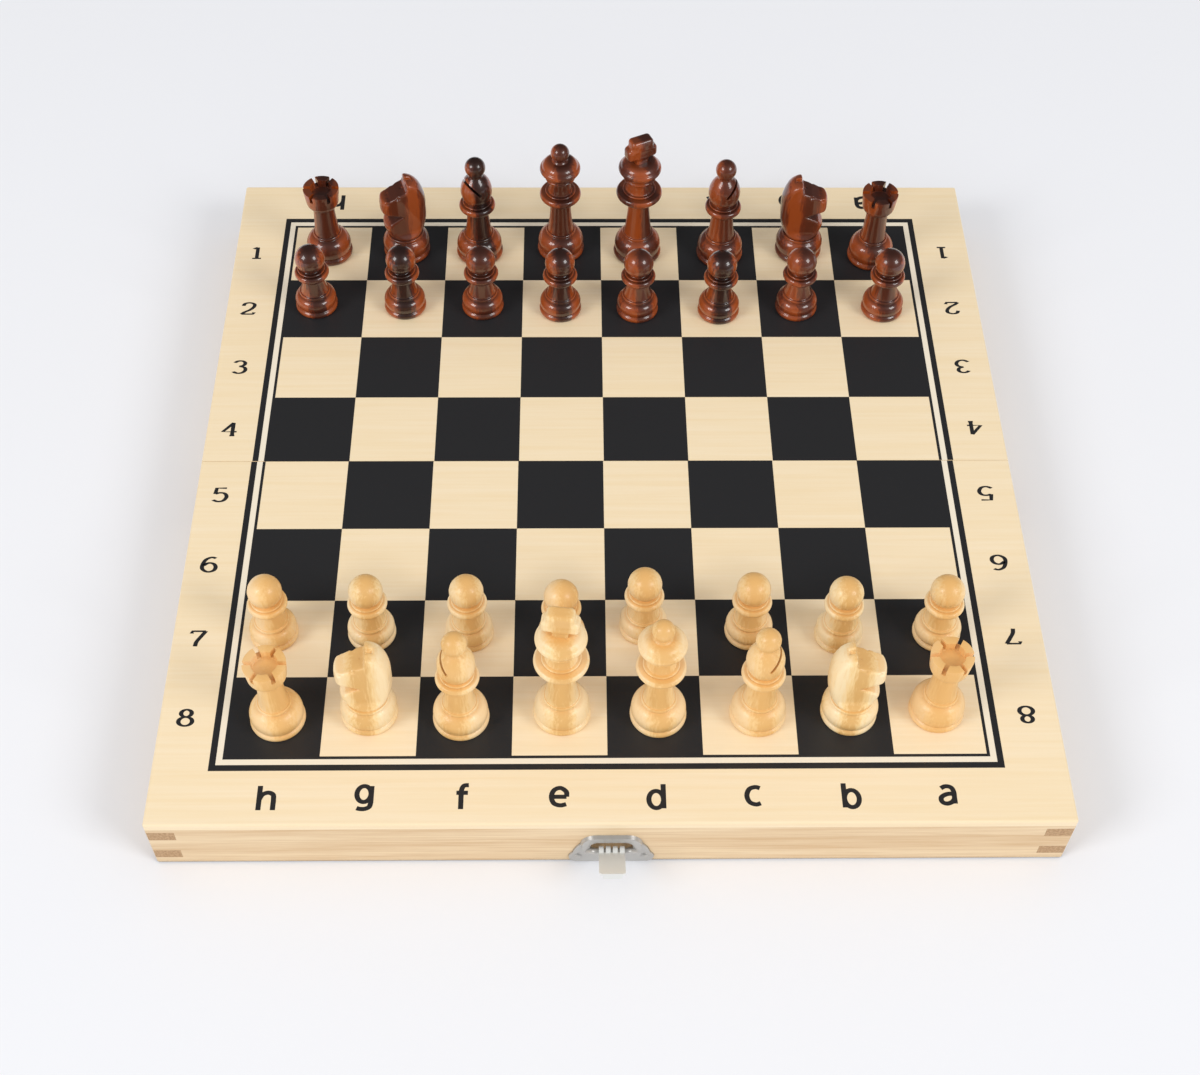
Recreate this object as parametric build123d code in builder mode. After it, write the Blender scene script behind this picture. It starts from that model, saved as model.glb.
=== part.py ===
from build123d import *
import os

# A folding chess set, open on a table with its 32 men in their places.
# Millimetres. X runs along the fold, from file h to file a. Y runs from the clasp side to the far
# side. Z is up. The origin is at the middle of the board, at the height of the rims it stands on.

# Board
board_side = 290.0
half_height = 25.0
panel_thickness = 3.0
wall_thickness = 9.0
edge_round = 0.8
seam_gap = 0.2      # between the two halves when the board is open
closed_gap = 0.2    # between the rims when it is folded
finger_height = 4.8
finger_spacing = 11.7     # from the middle of one finger to the middle of the next
finger_middle = 12.0      # height of the middle of the pair

# Playing field
square_count = 8
field_margin = 23.4   # from the board's edge to the outermost squares
field_shift = -0.9    # the print sits a little towards file h

# Hinges
hinge_spot = 80.0    # from the middle of the board
hinge_length = 20.0
leaf_depth = 8.0
leaf_thickness = 0.6
leaf_sink = 0.05    # how far the leaf lies below the rim's surface
barrel_radius = 1.1
hinge_pin_radius = 0.5
running_clearance = 0.05
knuckle_gap = 0.1
middle_knuckle = 6.6
wood_clearance = 0.25    # around the barrel
leaf_clearance = 0.1     # around the leaf in its recess
peen_height = 0.3
peen_radius = 0.8
screw_spacing = 12.0
screw_from_fold = 4.8
screw_head_radius = 1.6
screw_head_height = 1.0
screw_radius = 0.8
screw_length = 7.5

# Clasp on the front wall, with its pieces as they lie when the box is shut
clasp_width = 27.0
clasp_height = 17.4
clasp_thickness = 0.5
clasp_foot = 0.6          # height of its lower edge above the rim
boss_width = 19.5
boss_height = 11.6
boss_proud = 1.2
boss_round = 5.0
boss_taper = 20.0
window_width = 13.6
window_height = 5.8
window_round = 2.7
window_rise = 0.3         # of its middle above the bow
pocket_depth = 2.5        # in the wood behind the window
bow_radius = 0.9
bow_out = 2.4             # from the wall's face to the bow's middle line
bow_height = 11.2         # above the rim
bow_straight = 11.8       # between the corners of its middle stretch
bow_spread = 15.6         # where its ends meet the plate
bow_drop = 3.4
bow_foot_out = 0.7
bow_bend = 1.6
clasp_nail_spot = 10.6
clasp_nail_height = 4.6
nail_head_radius = 1.25
nail_head_height = 0.7
nail_radius = 0.5
nail_length = 6.0
hasp_width = 8.2
hasp_thickness = 0.7
hasp_reach = 14.2         # from the bow's middle line to the hasp's tip
hasp_lip = 1.05           # how far the lip turns in towards the wall
hasp_round = 1.2
loop_width = 1.5
loop_spacing = 2.2
loop_radius = 1.65
loop_count = 4
hasp_clearance = 0.08
hasp_open_angle = 123.0   # from shut to the way it stands in the photo
catch_width = 15.0
catch_height = 6.2
catch_foot = 0.3
bead_length = 6.0
bead_radius = 0.65
bead_out = 0.9
bead_clearance = 0.2      # between the bead and the hasp's lip when the box is shut
catch_nail_spot = 5.4

# Right half of the clasp plate's outline
wing_toe = 2.2             # the flat lower edge stops this far from the wing's tip
wing_tip_rise = 2.4        # of the widest place above the lower edge
wing_shoulder_in = 1.2
wing_shoulder_rise = 5.6
wing_scallop = 0.6
arch_in = 0.8              # from the boss's width to where the arch starts
arch_drop = 4.4            # from the plate's top to where the arch starts
arch_bow = 1.0

# Turned bases, shared by all the men
foot_ring = 2.1
foot_round = 0.5
groove_depth = 0.9
groove_height = 0.2
ring_height = 1.3
ring_bulge = 0.35
disc_half = 1.3      # half the thickness of a collar's disc
disc_round = 0.8
lower_ring = 0.7     # how much smaller the ring under a collar is
step_height = 0.8
base_ring = 4.8
base_dome = 1.9
stem_top = 4.4
neck_hollow = 0.8
crown_depth = 4.4
cross_thickness = 4.6

# King
king_height = 57.0
king_foot = 18.6
king_base = 11.3
king_collar = 17.5
king_collar_height = 31.0
king_stem = 7.7
king_neck = 10.2
king_crown = 16.2
king_crown_height = 43.0
king_cross_foot = 46.6
king_cross_waist = 5.0
king_cross_round = 2.0
king_arm_width = 11.9
king_arm_thickness = 4.4
king_arm_height = 51.3
king_top_width = 8.6
king_top_thickness = 4.7

# Queen
queen_height = 52.0
queen_foot = 18.3
queen_base = 11.0
queen_collar = 15.8
queen_collar_height = 28.6
queen_stem = 7.7
queen_neck = 9.2
queen_crown = 15.4
queen_crown_height = 41.2
queen_ball = 7.1
queen_ball_neck = 4.7

# Bishop
bishop_height = 46.9
bishop_foot = 18.2
bishop_base = 10.6
bishop_collar = 13.9
bishop_collar_height = 24.6
bishop_stem = 8.0
bishop_neck = 8.6
bishop_mitre = 12.0
bishop_ball = 7.9
bishop_ball_neck = 5.3
slit_width = 1.0
slit_tilt = 50.0       # from level: the cut runs in and down
slit_mouth = 39.2      # height of its middle line above the mitre's widest place
slit_reach = 7.8       # how far it runs in along its slope

# Knight: a turned blank sawn flat on both sides, with the face cut into its front
knight_height = 38.2
knight_foot = 18.2
knight_base = 10.6
knight_ring = 6.8
knight_dome = 1.5
knight_swell = 0.8
knight_shoulder = (8.8, 24.0)    # (radius, height) of the blank where it is widest
knight_bow = (7.1, 33.2)         # and where its top starts to round over
knight_shoulder_bulge = 0.6
knight_top_bulge = 1.4
knight_thickness = 9.0
knight_flare = 3.5     # radius in which the flat sides run out at the foot
nose_thickness = 7.3
cheek = 3.0            # where the sides start to narrow towards the nose
ear_gap = 1.5
ear_gap_height = 36.2
ear_gap_reach = 2.6
eye_radius = 0.8
eye_depth = 0.7

# Knight's face from the side, as (ahead of the middle, above the square)
ear_foot = (-0.7, 33.0)
brow = (2.4, 31.3)
bridge = (5.6, 29.7)
nose_tip = (9.4, 28.9)
lip = (9.4, 23.4)
jaw = (4.3, 22.0)
throat = (1.2, 20.8)
chest_top = (6.0, 18.5)
chest_front = (9.4, 14.6)
eye = (2.4, 30.8)
nostril = (6.8, 28.8)

# Rook
rook_height = 33.0
rook_foot = 17.8
rook_base = 11.2
rook_stem = 8.2
rook_neck = 8.5
rook_head_foot = 24.6
rook_bowl = 12.6
rook_bowl_height = 27.4
rook_head = 13.7
rook_cup = 8.2
rook_cup_depth = 3.2
rook_notch = 1.4
rook_notch_depth = 2.9
rook_notch_pairs = 3

# Pawn
pawn_height = 29.9
pawn_foot = 16.0
pawn_base = 8.8
pawn_ring = 4.7
pawn_dome = 1.6
pawn_collar = 13.0
pawn_collar_height = 17.8
pawn_stem = 8.2
pawn_neck = 8.0
pawn_head = 11.2
pawn_head_neck = 7.3

# Worked out from the sizes above
half_side = board_side / 2
square = (board_side - 2 * field_margin) / square_count
wall_height = half_height - panel_thickness
seam = seam_gap / 2
axis_height = -closed_gap / 2
wall_inside = half_side - wall_thickness
barrel_relief = barrel_radius + wood_clearance
pin_bore = hinge_pin_radius + running_clearance
leaf_top = leaf_sink + leaf_thickness
hasp_tip = bow_height - hasp_reach
bead_height = 2 * axis_height - (hasp_tip + hasp_thickness + bead_clearance + bead_radius)
front_face = Plane(origin=(0, -half_side, 0), x_dir=(1, 0, 0), z_dir=(0, -1, 0))
rear_face = Plane(origin=(0, half_side, 0), x_dir=(-1, 0, 0), z_dir=(0, 1, 0))
fold = Plane.XZ


def box_between(low, high, mode=Mode.ADD):
    """A block, given by two opposite corners."""
    middle = [(a + b) / 2 for a, b in zip(low, high)]
    size = [b - a for a, b in zip(low, high)]
    with Locations(tuple(middle)):
        return Box(*size, mode=mode)


def save(part, name):
    part.label = name
    export_step(part, f"parts/{name}.step")


os.makedirs("parts", exist_ok=True)

# Wood of the front half. The rear half is its mirror image across the fold.

# The whole half as one rounded block, which gives every piece of wood its outer edges
with BuildPart() as half_block:
    box_between((-half_side, -half_side, 0), (half_side, -seam, half_height))
    outer_edges = [e for e in half_block.edges() if e.center().Y < -seam - edge_round]
    fillet(outer_edges, radius=edge_round)

# The fingers that the side walls push through the outer wall and the meeting wall
with BuildPart() as side_fingers:
    for step in (-0.5, 0.5):
        foot = finger_middle + step * finger_spacing - finger_height / 2
        for x in (-half_side, wall_inside):
            for y in (-half_side, -seam - wall_thickness):
                box_between((x, y, foot), (x + wall_thickness, y + wall_thickness, foot + finger_height))

# Room for the hinges in the meeting wall: a recess for each leaf, a round relief for each barrel
with BuildPart() as leaf_recesses:
    reach = hinge_length / 2 + leaf_clearance
    for x in (-hinge_spot, hinge_spot):
        box_between(
            (x - reach, -leaf_depth - leaf_clearance, -closed_gap),
            (x + reach, 0, leaf_top + leaf_clearance),
        )
        with Locations(Location((x, 0, axis_height), (0, 90, 0))):
            Cylinder(barrel_relief, hinge_length + 2 * (peen_height + wood_clearance))


def hinge_screws(extra):
    """Countersunk screws for the front leaves, larger all round by extra for the holes they go in."""
    with BuildPart() as one_screw:
        with BuildSketch(Plane.XZ):
            with BuildLine():
                Polyline(
                    (0, leaf_sink),
                    (screw_head_radius + extra, leaf_sink),
                    (screw_radius + extra, leaf_sink + screw_head_height),
                    (screw_radius + extra, screw_length - screw_radius),
                    (0, screw_length + extra),
                    close=True,
                )
            make_face()
        revolve(axis=Axis.Z)
    with BuildPart() as set_of_screws:
        for x in (-hinge_spot, hinge_spot):
            with Locations(
                (x - screw_spacing / 2, -screw_from_fold, 0),
                (x + screw_spacing / 2, -screw_from_fold, 0),
            ):
                add(one_screw.part)
    return set_of_screws.part


def nails(face, spots, thickness, extra):
    """Round-headed nails through a plate of this thickness, larger all round by extra for their holes."""
    head_top = thickness + nail_head_height
    dome = (nail_head_radius**2 + nail_head_height**2) / (2 * nail_head_height)
    half_chord = (nail_head_radius**2 + nail_head_height**2) ** 0.5 / 2
    with BuildPart() as one_nail:
        with BuildSketch(Plane.XZ):
            with BuildLine():
                Polyline(
                    (0, head_top),
                    (0, -nail_length - extra),
                    (nail_radius + extra, -nail_length + nail_radius),
                    (nail_radius + extra, thickness),
                    (nail_head_radius, thickness),
                )
                head_edge = (nail_head_radius, thickness)
                SagittaArc(head_edge, (0, head_top), (dome**2 - half_chord**2) ** 0.5 - dome)
            make_face()
        revolve(axis=Axis.Z)
    with BuildPart() as set_of_nails:
        for x, height in spots:
            with Locations(face.location * Location((x, height, 0))):
                add(one_nail.part)
    return set_of_nails.part


clasp_nail_spots = [(x, clasp_nail_height) for x in (-clasp_nail_spot, clasp_nail_spot)]
catch_middle = catch_foot + catch_height / 2
catch_nail_spots = [(x, catch_middle) for x in (-catch_nail_spot, catch_nail_spot)]
window_middle = bow_height + window_rise

with BuildPart() as front_half_panel:
    box_between((-half_side, -half_side, wall_height), (half_side, -seam, half_height))
    add(half_block.part, mode=Mode.INTERSECT)

with BuildPart() as plain_outer_wall:
    box_between((-half_side, -half_side, 0), (half_side, -wall_inside, wall_height))
    add(half_block.part, mode=Mode.INTERSECT)
    add(side_fingers.part, mode=Mode.SUBTRACT)

with BuildPart() as front_half_outer_wall:
    add(plain_outer_wall.part)
    with BuildSketch(front_face):
        with Locations((0, window_middle)):
            RectangleRounded(window_width, window_height, window_round)
    extrude(amount=-pocket_depth, mode=Mode.SUBTRACT)
    add(nails(front_face, clasp_nail_spots, clasp_thickness, running_clearance), mode=Mode.SUBTRACT)

with BuildPart() as rear_half_outer_wall:
    mirror(plain_outer_wall.part, about=fold)
    add(nails(rear_face, catch_nail_spots, clasp_thickness, running_clearance), mode=Mode.SUBTRACT)

with BuildPart() as front_half_meeting_wall:
    box_between((-half_side, -seam - wall_thickness, 0), (half_side, -seam, wall_height))
    add(half_block.part, mode=Mode.INTERSECT)
    add(side_fingers.part, mode=Mode.SUBTRACT)
    add(leaf_recesses.part, mode=Mode.SUBTRACT)
    add(hinge_screws(running_clearance), mode=Mode.SUBTRACT)


def side_wall(x):
    """A side wall with its fingers, from x to the wall's thickness beyond it."""
    with BuildPart() as wall:
        add(side_fingers.part)
        box_between((x, -wall_inside, 0), (x + wall_thickness, -seam - wall_thickness, wall_height))
        box_between((x, -half_side, 0), (x + wall_thickness, 0, wall_height), mode=Mode.INTERSECT)
        add(half_block.part, mode=Mode.INTERSECT)
    return wall.part


wood = {
    "panel": front_half_panel.part,
    "meeting_wall": front_half_meeting_wall.part,
    "left_wall": side_wall(-half_side),
    "right_wall": side_wall(wall_inside),
}
for name, piece in wood.items():
    with BuildPart() as rear_piece:
        mirror(piece, about=fold)
    save(piece, f"front_half_{name}")
    save(rear_piece.part, f"rear_half_{name}")
save(front_half_outer_wall.part, "front_half_outer_wall")
save(rear_half_outer_wall.part, "rear_half_outer_wall")

# Hinges: the front leaves carry the two outer knuckles, the rear leaves the middle one


def hinge_leaves(knuckles):
    """Both leaves of the front half, with knuckles on the given stretches along the hinge."""
    with BuildPart() as leaves:
        for x in (-hinge_spot, hinge_spot):
            half_length = hinge_length / 2
            root = -barrel_relief
            box_between((x - half_length, -leaf_depth, leaf_sink), (x + half_length, root, leaf_top))
            for start, end in knuckles:
                box_between((x + start, root, leaf_sink), (x + end, 0, leaf_top))
                with Locations(Location((x + (start + end) / 2, 0, axis_height), (0, 90, 0))):
                    Cylinder(barrel_radius, end - start)
        for x in (-hinge_spot, hinge_spot):
            with Locations(Location((x, 0, axis_height), (0, 90, 0))):
                Cylinder(pin_bore, hinge_length, mode=Mode.SUBTRACT)
        add(hinge_screws(running_clearance), mode=Mode.SUBTRACT)
    return leaves.part


outer_end = hinge_length / 2
outer_start = middle_knuckle / 2 + knuckle_gap
save(hinge_leaves([(-outer_end, -outer_start), (outer_start, outer_end)]), "front_hinge_leaves")

with BuildPart() as rear_hinge_leaves:
    mirror(hinge_leaves([(-middle_knuckle / 2, middle_knuckle / 2)]), about=fold)
save(rear_hinge_leaves.part, "rear_hinge_leaves")

with BuildPart() as hinge_pins:
    for x in (-hinge_spot, hinge_spot):
        with Locations(Location((x, 0, axis_height), (0, 90, 0))):
            Cylinder(hinge_pin_radius, hinge_length)
        for side in (-1, 1):
            spot = x + side * (hinge_length + peen_height) / 2
            with Locations(Location((spot, 0, axis_height), (0, 90, 0))):
                Cylinder(peen_radius, peen_height)
save(hinge_pins.part, "hinge_pins")

save(hinge_screws(0), "front_hinge_screws")
with BuildPart() as rear_hinge_screws:
    mirror(hinge_screws(0), about=fold)
save(rear_hinge_screws.part, "rear_hinge_screws")

# Clasp plate: a pressed wing plate with a raised middle, a window, and a bow for the hasp's loops
bow_path_plane = Plane(
    origin=(0, -half_side - bow_foot_out, bow_height - bow_drop),
    x_dir=(1, 0, 0),
    z_dir=(0, -bow_drop, bow_foot_out - bow_out),
)
bow_rise = ((bow_out - bow_foot_out) ** 2 + bow_drop**2) ** 0.5

with BuildPart() as clasp_plate:
    with BuildSketch(front_face):
        with BuildLine():
            wing = clasp_width / 2
            toe = (wing - wing_toe, clasp_foot)
            shoulder = (wing - wing_shoulder_in, clasp_foot + wing_shoulder_rise)
            arch_foot = (boss_width / 2 - arch_in, clasp_height - arch_drop)
            Line((0, clasp_foot), toe)
            ThreePointArc(toe, (wing, clasp_foot + wing_tip_rise), shoulder)
            SagittaArc(shoulder, arch_foot, -wing_scallop)
            SagittaArc(arch_foot, (0, clasp_height), arch_bow)
            mirror(about=Plane.YZ)
        make_face()
    extrude(amount=clasp_thickness)
    with BuildSketch(front_face):
        with Locations((0, window_middle)):
            RectangleRounded(boss_width, boss_height, boss_round)
    extrude(amount=boss_proud, taper=boss_taper)
    with BuildSketch(front_face):
        with Locations((0, window_middle)):
            RectangleRounded(window_width, window_height, window_round)
    extrude(amount=boss_proud, mode=Mode.SUBTRACT)
    with BuildLine(bow_path_plane) as bow_path:
        FilletPolyline(
            (-bow_spread / 2, 0),
            (-bow_straight / 2, bow_rise),
            (bow_straight / 2, bow_rise),
            (bow_spread / 2, 0),
            radius=bow_bend,
        )
    with BuildSketch(Plane(origin=bow_path.line @ 0, z_dir=bow_path.line % 0)):
        Circle(bow_radius)
    sweep()
    # what the bow's round ends would push through the back of the plate
    box_between(
        (-clasp_width, -half_side, 0), (clasp_width, -half_side + bow_drop, half_height), mode=Mode.SUBTRACT
    )
    add(nails(front_face, clasp_nail_spots, clasp_thickness, running_clearance), mode=Mode.SUBTRACT)
save(clasp_plate.part, "clasp_plate")
save(nails(front_face, clasp_nail_spots, clasp_thickness, 0), "clasp_nails")

# Hasp, drawn hanging shut, then turned up about the bow to where it stands in the photograph
bow_axis = Axis((0, -half_side - bow_out, bow_height), (1, 0, 0))
hasp_top = bow_height - bow_radius - hasp_clearance - hasp_thickness / 2

with BuildPart() as shut_hasp:
    with BuildSketch(front_face.offset(bow_out - hasp_thickness / 2)):
        with Locations((0, (hasp_tip + hasp_top) / 2)):
            Rectangle(hasp_width, hasp_top - hasp_tip)
    extrude(amount=hasp_thickness)
    tip_corners = shut_hasp.edges().filter_by(Axis.Y).group_by(Axis.Z)[0]
    fillet(tip_corners, radius=hasp_round)
    lip_reach = hasp_width / 2 - hasp_round
    lip_root = -half_side - bow_out
    box_between(
        (-lip_reach, lip_root, hasp_tip),
        (lip_reach, lip_root + hasp_thickness / 2 + hasp_lip, hasp_tip + hasp_thickness),
    )
    loops = [(i - (loop_count - 1) / 2) * loop_spacing for i in range(loop_count)]
    with Locations(*[Location((x, -half_side - bow_out, bow_height), (0, 90, 0)) for x in loops]):
        Cylinder(loop_radius, loop_width)
    with Locations(Location((0, -half_side - bow_out, bow_height), (0, 90, 0))):
        Cylinder(bow_radius + hasp_clearance, 2 * hasp_width, mode=Mode.SUBTRACT)

with BuildPart() as hasp:
    add(shut_hasp.part.rotate(bow_axis, -hasp_open_angle))
save(hasp.part, "hasp")

# Catch plate on the rear wall: its bead comes to lie above the hasp's lip when the box is shut
with BuildPart() as catch_plate:
    with BuildSketch(rear_face):
        with Locations((0, catch_middle)):
            SlotOverall(catch_width, catch_height)
    extrude(amount=clasp_thickness)
    with Locations(Location((0, half_side + bead_out, bead_height), (0, 90, 0))):
        Cylinder(bead_radius, bead_length)
    box_between(
        (-bead_length / 2, half_side, bead_height - bead_radius),
        (bead_length / 2, half_side + bead_out, bead_height + bead_radius),
    )
    add(nails(rear_face, catch_nail_spots, clasp_thickness, running_clearance), mode=Mode.SUBTRACT)
save(catch_plate.part, "catch_plate")
save(nails(rear_face, catch_nail_spots, clasp_thickness, 0), "catch_nails")

# Chessmen. Each turned piece is half an outline, given from the middle of its underside upwards as
# (radius, height, bulge): the bulge is how far that stretch bows outwards, and 0 is a straight one.


def turn(outline):
    """A turned solid from its half outline."""
    with BuildPart() as turned:
        with BuildSketch(Plane.XZ):
            with BuildLine():
                here = (0, 0)
                for radius, height, bulge in outline:
                    there = (radius, height)
                    if bulge:
                        SagittaArc(here, there, -bulge)
                    else:
                        Line(here, there)
                    here = there
                Line(here, (0, 0))
            make_face()
        revolve(axis=Axis.Z)
    return turned.part


def base(foot, height, ring, dome_bulge):
    """Foot ring, groove, dome, and the small ring that ends the base at this height."""
    edge = foot / 2 - foot_round
    return [
        (edge, 0, 0),
        (edge, foot_ring, foot_round),
        (foot / 2 - groove_depth, foot_ring + groove_height, 0),
        (ring, height - ring_height, dome_bulge),
        (ring, height, ring_bulge),
    ]


def stem(start, start_height, waist, end, end_height):
    """A hollow stretch between two radii, with its thinnest diameter given."""
    return [(start, start_height, 0), (end, end_height, waist / 2 - (start + end) / 2)]


def collar(across, height, neck):
    """A low ring, the collar's full disc, and a thin ring round the foot of the neck."""
    edge = across / 2 - disc_round
    low = edge - lower_ring
    under = height - disc_half
    over = height + disc_half
    return [
        (low, under - step_height, -ring_bulge),
        (low, under, ring_bulge),
        (edge, under, 0),
        (edge, over, disc_round),
        (neck + step_height, over, 0),
        (neck + step_height, over + step_height, ring_bulge),
    ]


def crown(across, height, neck):
    """A thin ring, then a flare out to the crown's rounded edge."""
    edge = across / 2 - disc_round
    ring_foot = height - crown_depth
    return [
        (neck + step_height, ring_foot, 0),
        (neck + step_height, ring_foot + step_height, ring_bulge),
        (edge, height - disc_half, -ring_bulge),
        (edge, height + disc_half, disc_round),
    ]


def ball(across, top, neck):
    """A ball on its neck, ending a turned piece at this height."""
    radius = across / 2
    foot = top - radius - (radius**2 - neck**2) ** 0.5
    chord = (neck**2 + (top - foot) ** 2) ** 0.5
    return [(neck, foot, 0), (0, top, radius - (radius**2 - chord**2 / 4) ** 0.5)]


def collar_top(height):
    return height + disc_half + step_height


def collar_foot(height):
    return height - disc_half - 2 * step_height


def make_king():
    neck = king_neck / 2
    ring_top = king_crown_height - crown_depth
    outline = (
        base(king_foot, king_base, base_ring, base_dome)
        + stem(base_ring - ring_bulge, king_base, king_stem, stem_top, collar_foot(king_collar_height))
        + collar(king_collar, king_collar_height, neck)
        + stem(neck, collar_top(king_collar_height), king_neck - neck_hollow, neck, ring_top)
        + crown(king_crown, king_crown_height, neck)
        + [(king_cross_waist / 2 + step_height, king_cross_foot, step_height), (0, king_cross_foot, 0)]
    )
    post_foot = king_cross_foot - step_height
    top_height = king_height - king_top_thickness / 2
    with BuildPart() as king:
        add(turn(outline))
        with BuildSketch(Plane.XZ):
            with Locations((0, (post_foot + top_height) / 2)):
                Rectangle(king_cross_waist, top_height - post_foot)
            with Locations((0, king_arm_height)):
                RectangleRounded(king_arm_width, king_arm_thickness, king_cross_round)
            with Locations((0, top_height)):
                RectangleRounded(king_top_width, king_top_thickness, king_cross_round)
        extrude(amount=cross_thickness / 2, both=True)
    return king.part


def make_queen():
    neck = queen_neck / 2
    ring_top = queen_crown_height - crown_depth
    ball_neck = queen_ball_neck / 2
    outline = (
        base(queen_foot, queen_base, base_ring, base_dome)
        + stem(base_ring - ring_bulge, queen_base, queen_stem, stem_top, collar_foot(queen_collar_height))
        + collar(queen_collar, queen_collar_height, neck)
        + stem(neck, collar_top(queen_collar_height), queen_neck - neck_hollow, neck, ring_top)
        + crown(queen_crown, queen_crown_height, neck)
        + [(ball_neck + step_height, queen_height - queen_ball, step_height)]
        + ball(queen_ball, queen_height, ball_neck)
    )
    return turn(outline)


def make_bishop():
    neck = bishop_neck / 2
    mitre_foot = collar_top(bishop_collar_height)
    ball_neck = bishop_ball_neck / 2
    mitre_top = bishop_height - bishop_ball
    outline = (
        base(bishop_foot, bishop_base, base_ring, base_dome)
        + stem(base_ring - ring_bulge, bishop_base, bishop_stem, stem_top, collar_foot(bishop_collar_height))
        + collar(bishop_collar, bishop_collar_height, neck)
        + [(neck, mitre_foot, 0)]
        + [(ball_neck, mitre_top, bishop_mitre / 2 - (neck + ball_neck) / 2)]
        + ball(bishop_ball, bishop_height, ball_neck)
    )
    mouth = Location((bishop_mitre / 2, 0, slit_mouth), (0, -slit_tilt, 0))
    with BuildPart() as bishop:
        add(turn(outline))
        with Locations(mouth):
            Box(2 * slit_reach, bishop_mitre, slit_width, mode=Mode.SUBTRACT)
    return bishop.part


def make_rook():
    neck = rook_neck / 2
    outline = (
        base(rook_foot, rook_base, base_ring, base_dome)
        + stem(base_ring - ring_bulge, rook_base, rook_stem, neck, rook_head_foot)
        + [
            (neck + step_height, rook_head_foot, 0),
            (rook_bowl / 2, rook_bowl_height, ring_bulge),
            (rook_head / 2, rook_height, 0),
            (rook_cup / 2, rook_height, 0),
            (rook_cup / 2, rook_height - rook_cup_depth, 0),
            (0, rook_height - rook_cup_depth, 0),
        ]
    )
    with BuildPart() as rook:
        add(turn(outline))
        with PolarLocations(0, rook_notch_pairs, angular_range=180):
            notch_middle = rook_height - rook_notch_depth / 2
            with Locations((0, 0, notch_middle)):
                Box(2 * rook_head, rook_notch, rook_notch_depth, mode=Mode.SUBTRACT)
    return rook.part


def make_pawn():
    neck = pawn_neck / 2
    outline = (
        base(pawn_foot, pawn_base, pawn_ring, pawn_dome)
        + stem(pawn_ring - ring_bulge, pawn_base, pawn_stem, stem_top, collar_foot(pawn_collar_height))
        + collar(pawn_collar, pawn_collar_height, neck)
        + [(neck, collar_top(pawn_collar_height), 0)]
        + ball(pawn_head, pawn_height, pawn_head_neck / 2)
    )
    return turn(outline)


def make_knight():
    side = knight_thickness / 2
    flare_top = knight_base + knight_flare
    wide = side + knight_flare
    front = nose_tip[0]
    overhead = 2 * knight_height    # the cuts come down from well above the ears
    outline = base(knight_foot, knight_base, knight_ring, knight_dome) + [
        (knight_ring - ring_bulge, knight_base, 0),
        (*knight_shoulder, knight_swell),
        (*knight_bow, knight_shoulder_bulge),
        (0, knight_height, knight_top_bulge),
    ]
    with BuildPart() as knight:
        add(turn(outline))
        with BuildSketch(Plane.YZ):
            with BuildLine():
                Line((side, overhead), (side, flare_top))
                RadiusArc((side, flare_top), (wide, knight_base), knight_flare)
                Line((wide, knight_base), (knight_foot, knight_base))
                Line((knight_foot, knight_base), (knight_foot, overhead))
                Line((knight_foot, overhead), (side, overhead))
            make_face()
            mirror(about=Plane.XZ)
        extrude(amount=knight_foot, both=True, mode=Mode.SUBTRACT)
        with BuildSketch(Plane.XZ):
            with BuildLine():
                above = (ear_foot[0], overhead)
                beyond = (front, overhead)
                Polyline(above, ear_foot, brow, bridge, nose_tip, beyond, close=True)
            make_face()
            with BuildLine():
                Polyline(lip, jaw, throat, chest_top, chest_front, close=True)
            make_face()
        extrude(amount=knight_foot, both=True, mode=Mode.SUBTRACT)
        with BuildSketch(Plane.XY.offset(throat[1])):
            with BuildLine():
                Polyline((cheek, side), (front, nose_thickness / 2), (front, side), close=True)
            make_face()
            mirror(about=Plane.XZ)
        extrude(amount=knight_height, mode=Mode.SUBTRACT)
        box_between(
            (ear_foot[0] - ear_gap_reach, -ear_gap / 2, ear_gap_height),
            (ear_foot[0], ear_gap / 2, overhead),
            mode=Mode.SUBTRACT,
        )
        for ahead, height in (eye, nostril):
            for edge in (-side, side):
                with Locations(Location((ahead, edge, height), (90, 0, 0))):
                    Cylinder(eye_radius, 2 * eye_depth, mode=Mode.SUBTRACT)
    return knight.part


men = {
    "king": make_king(),
    "queen": make_queen(),
    "bishop": make_bishop(),
    "knight": make_knight(),
    "rook": make_rook(),
    "pawn": make_pawn(),
}
files = "hgfedcba"
ranks = {
    ("light", 8): ["rook", "knight", "bishop", "king", "queen", "bishop", "knight", "rook"],
    ("light", 7): ["pawn"] * 8,
    ("dark", 2): ["pawn"] * 8,
    ("dark", 1): ["rook", "knight", "bishop", "queen", "king", "bishop", "knight", "rook"],
}

# How far each man stands from the middle of its square, (to the right, away from the clasp)
off_middle = {
    8: [(0.6, -0.5), (-0.6, 1.7), (-1.5, -0.3), (0.5, 1.6), (1.0, 0.6), (2.7, 0.7), (1.7, 1.0), (-0.2, 1.7)],
    7: [(-3.9, 2.1), (-1.9, 2.0), (0.1, 1.9), (0.3, -0.2), (-3.0, 4.4), (1.7, 2.3), (1.2, 0.7), (3.6, 1.3)],
    2: [(-3.0, 2.0), (0.6, 1.5), (0, 1.2), (-0.6, 0), (-1.5, -0.4), (-0.7, -1.2), (-1.1, 0.4), (1.6, -0.2)],
    1: [(-0.4, 1.0), (-0.4, 1.9), (-2.1, 1.1), (-0.5, 2.8), (-0.8, 1.1), (1.3, -0.1), (2.2, 1.9), (0, -1.6)],
}

# Which way each man faces: knights look out along +X until turned, and so do the bishops' slits
turns = {"g8": 184, "g1": 198, "f8": 165, "f1": 210, "c1": -4, "d1": 25, "e8": -8}

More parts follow.
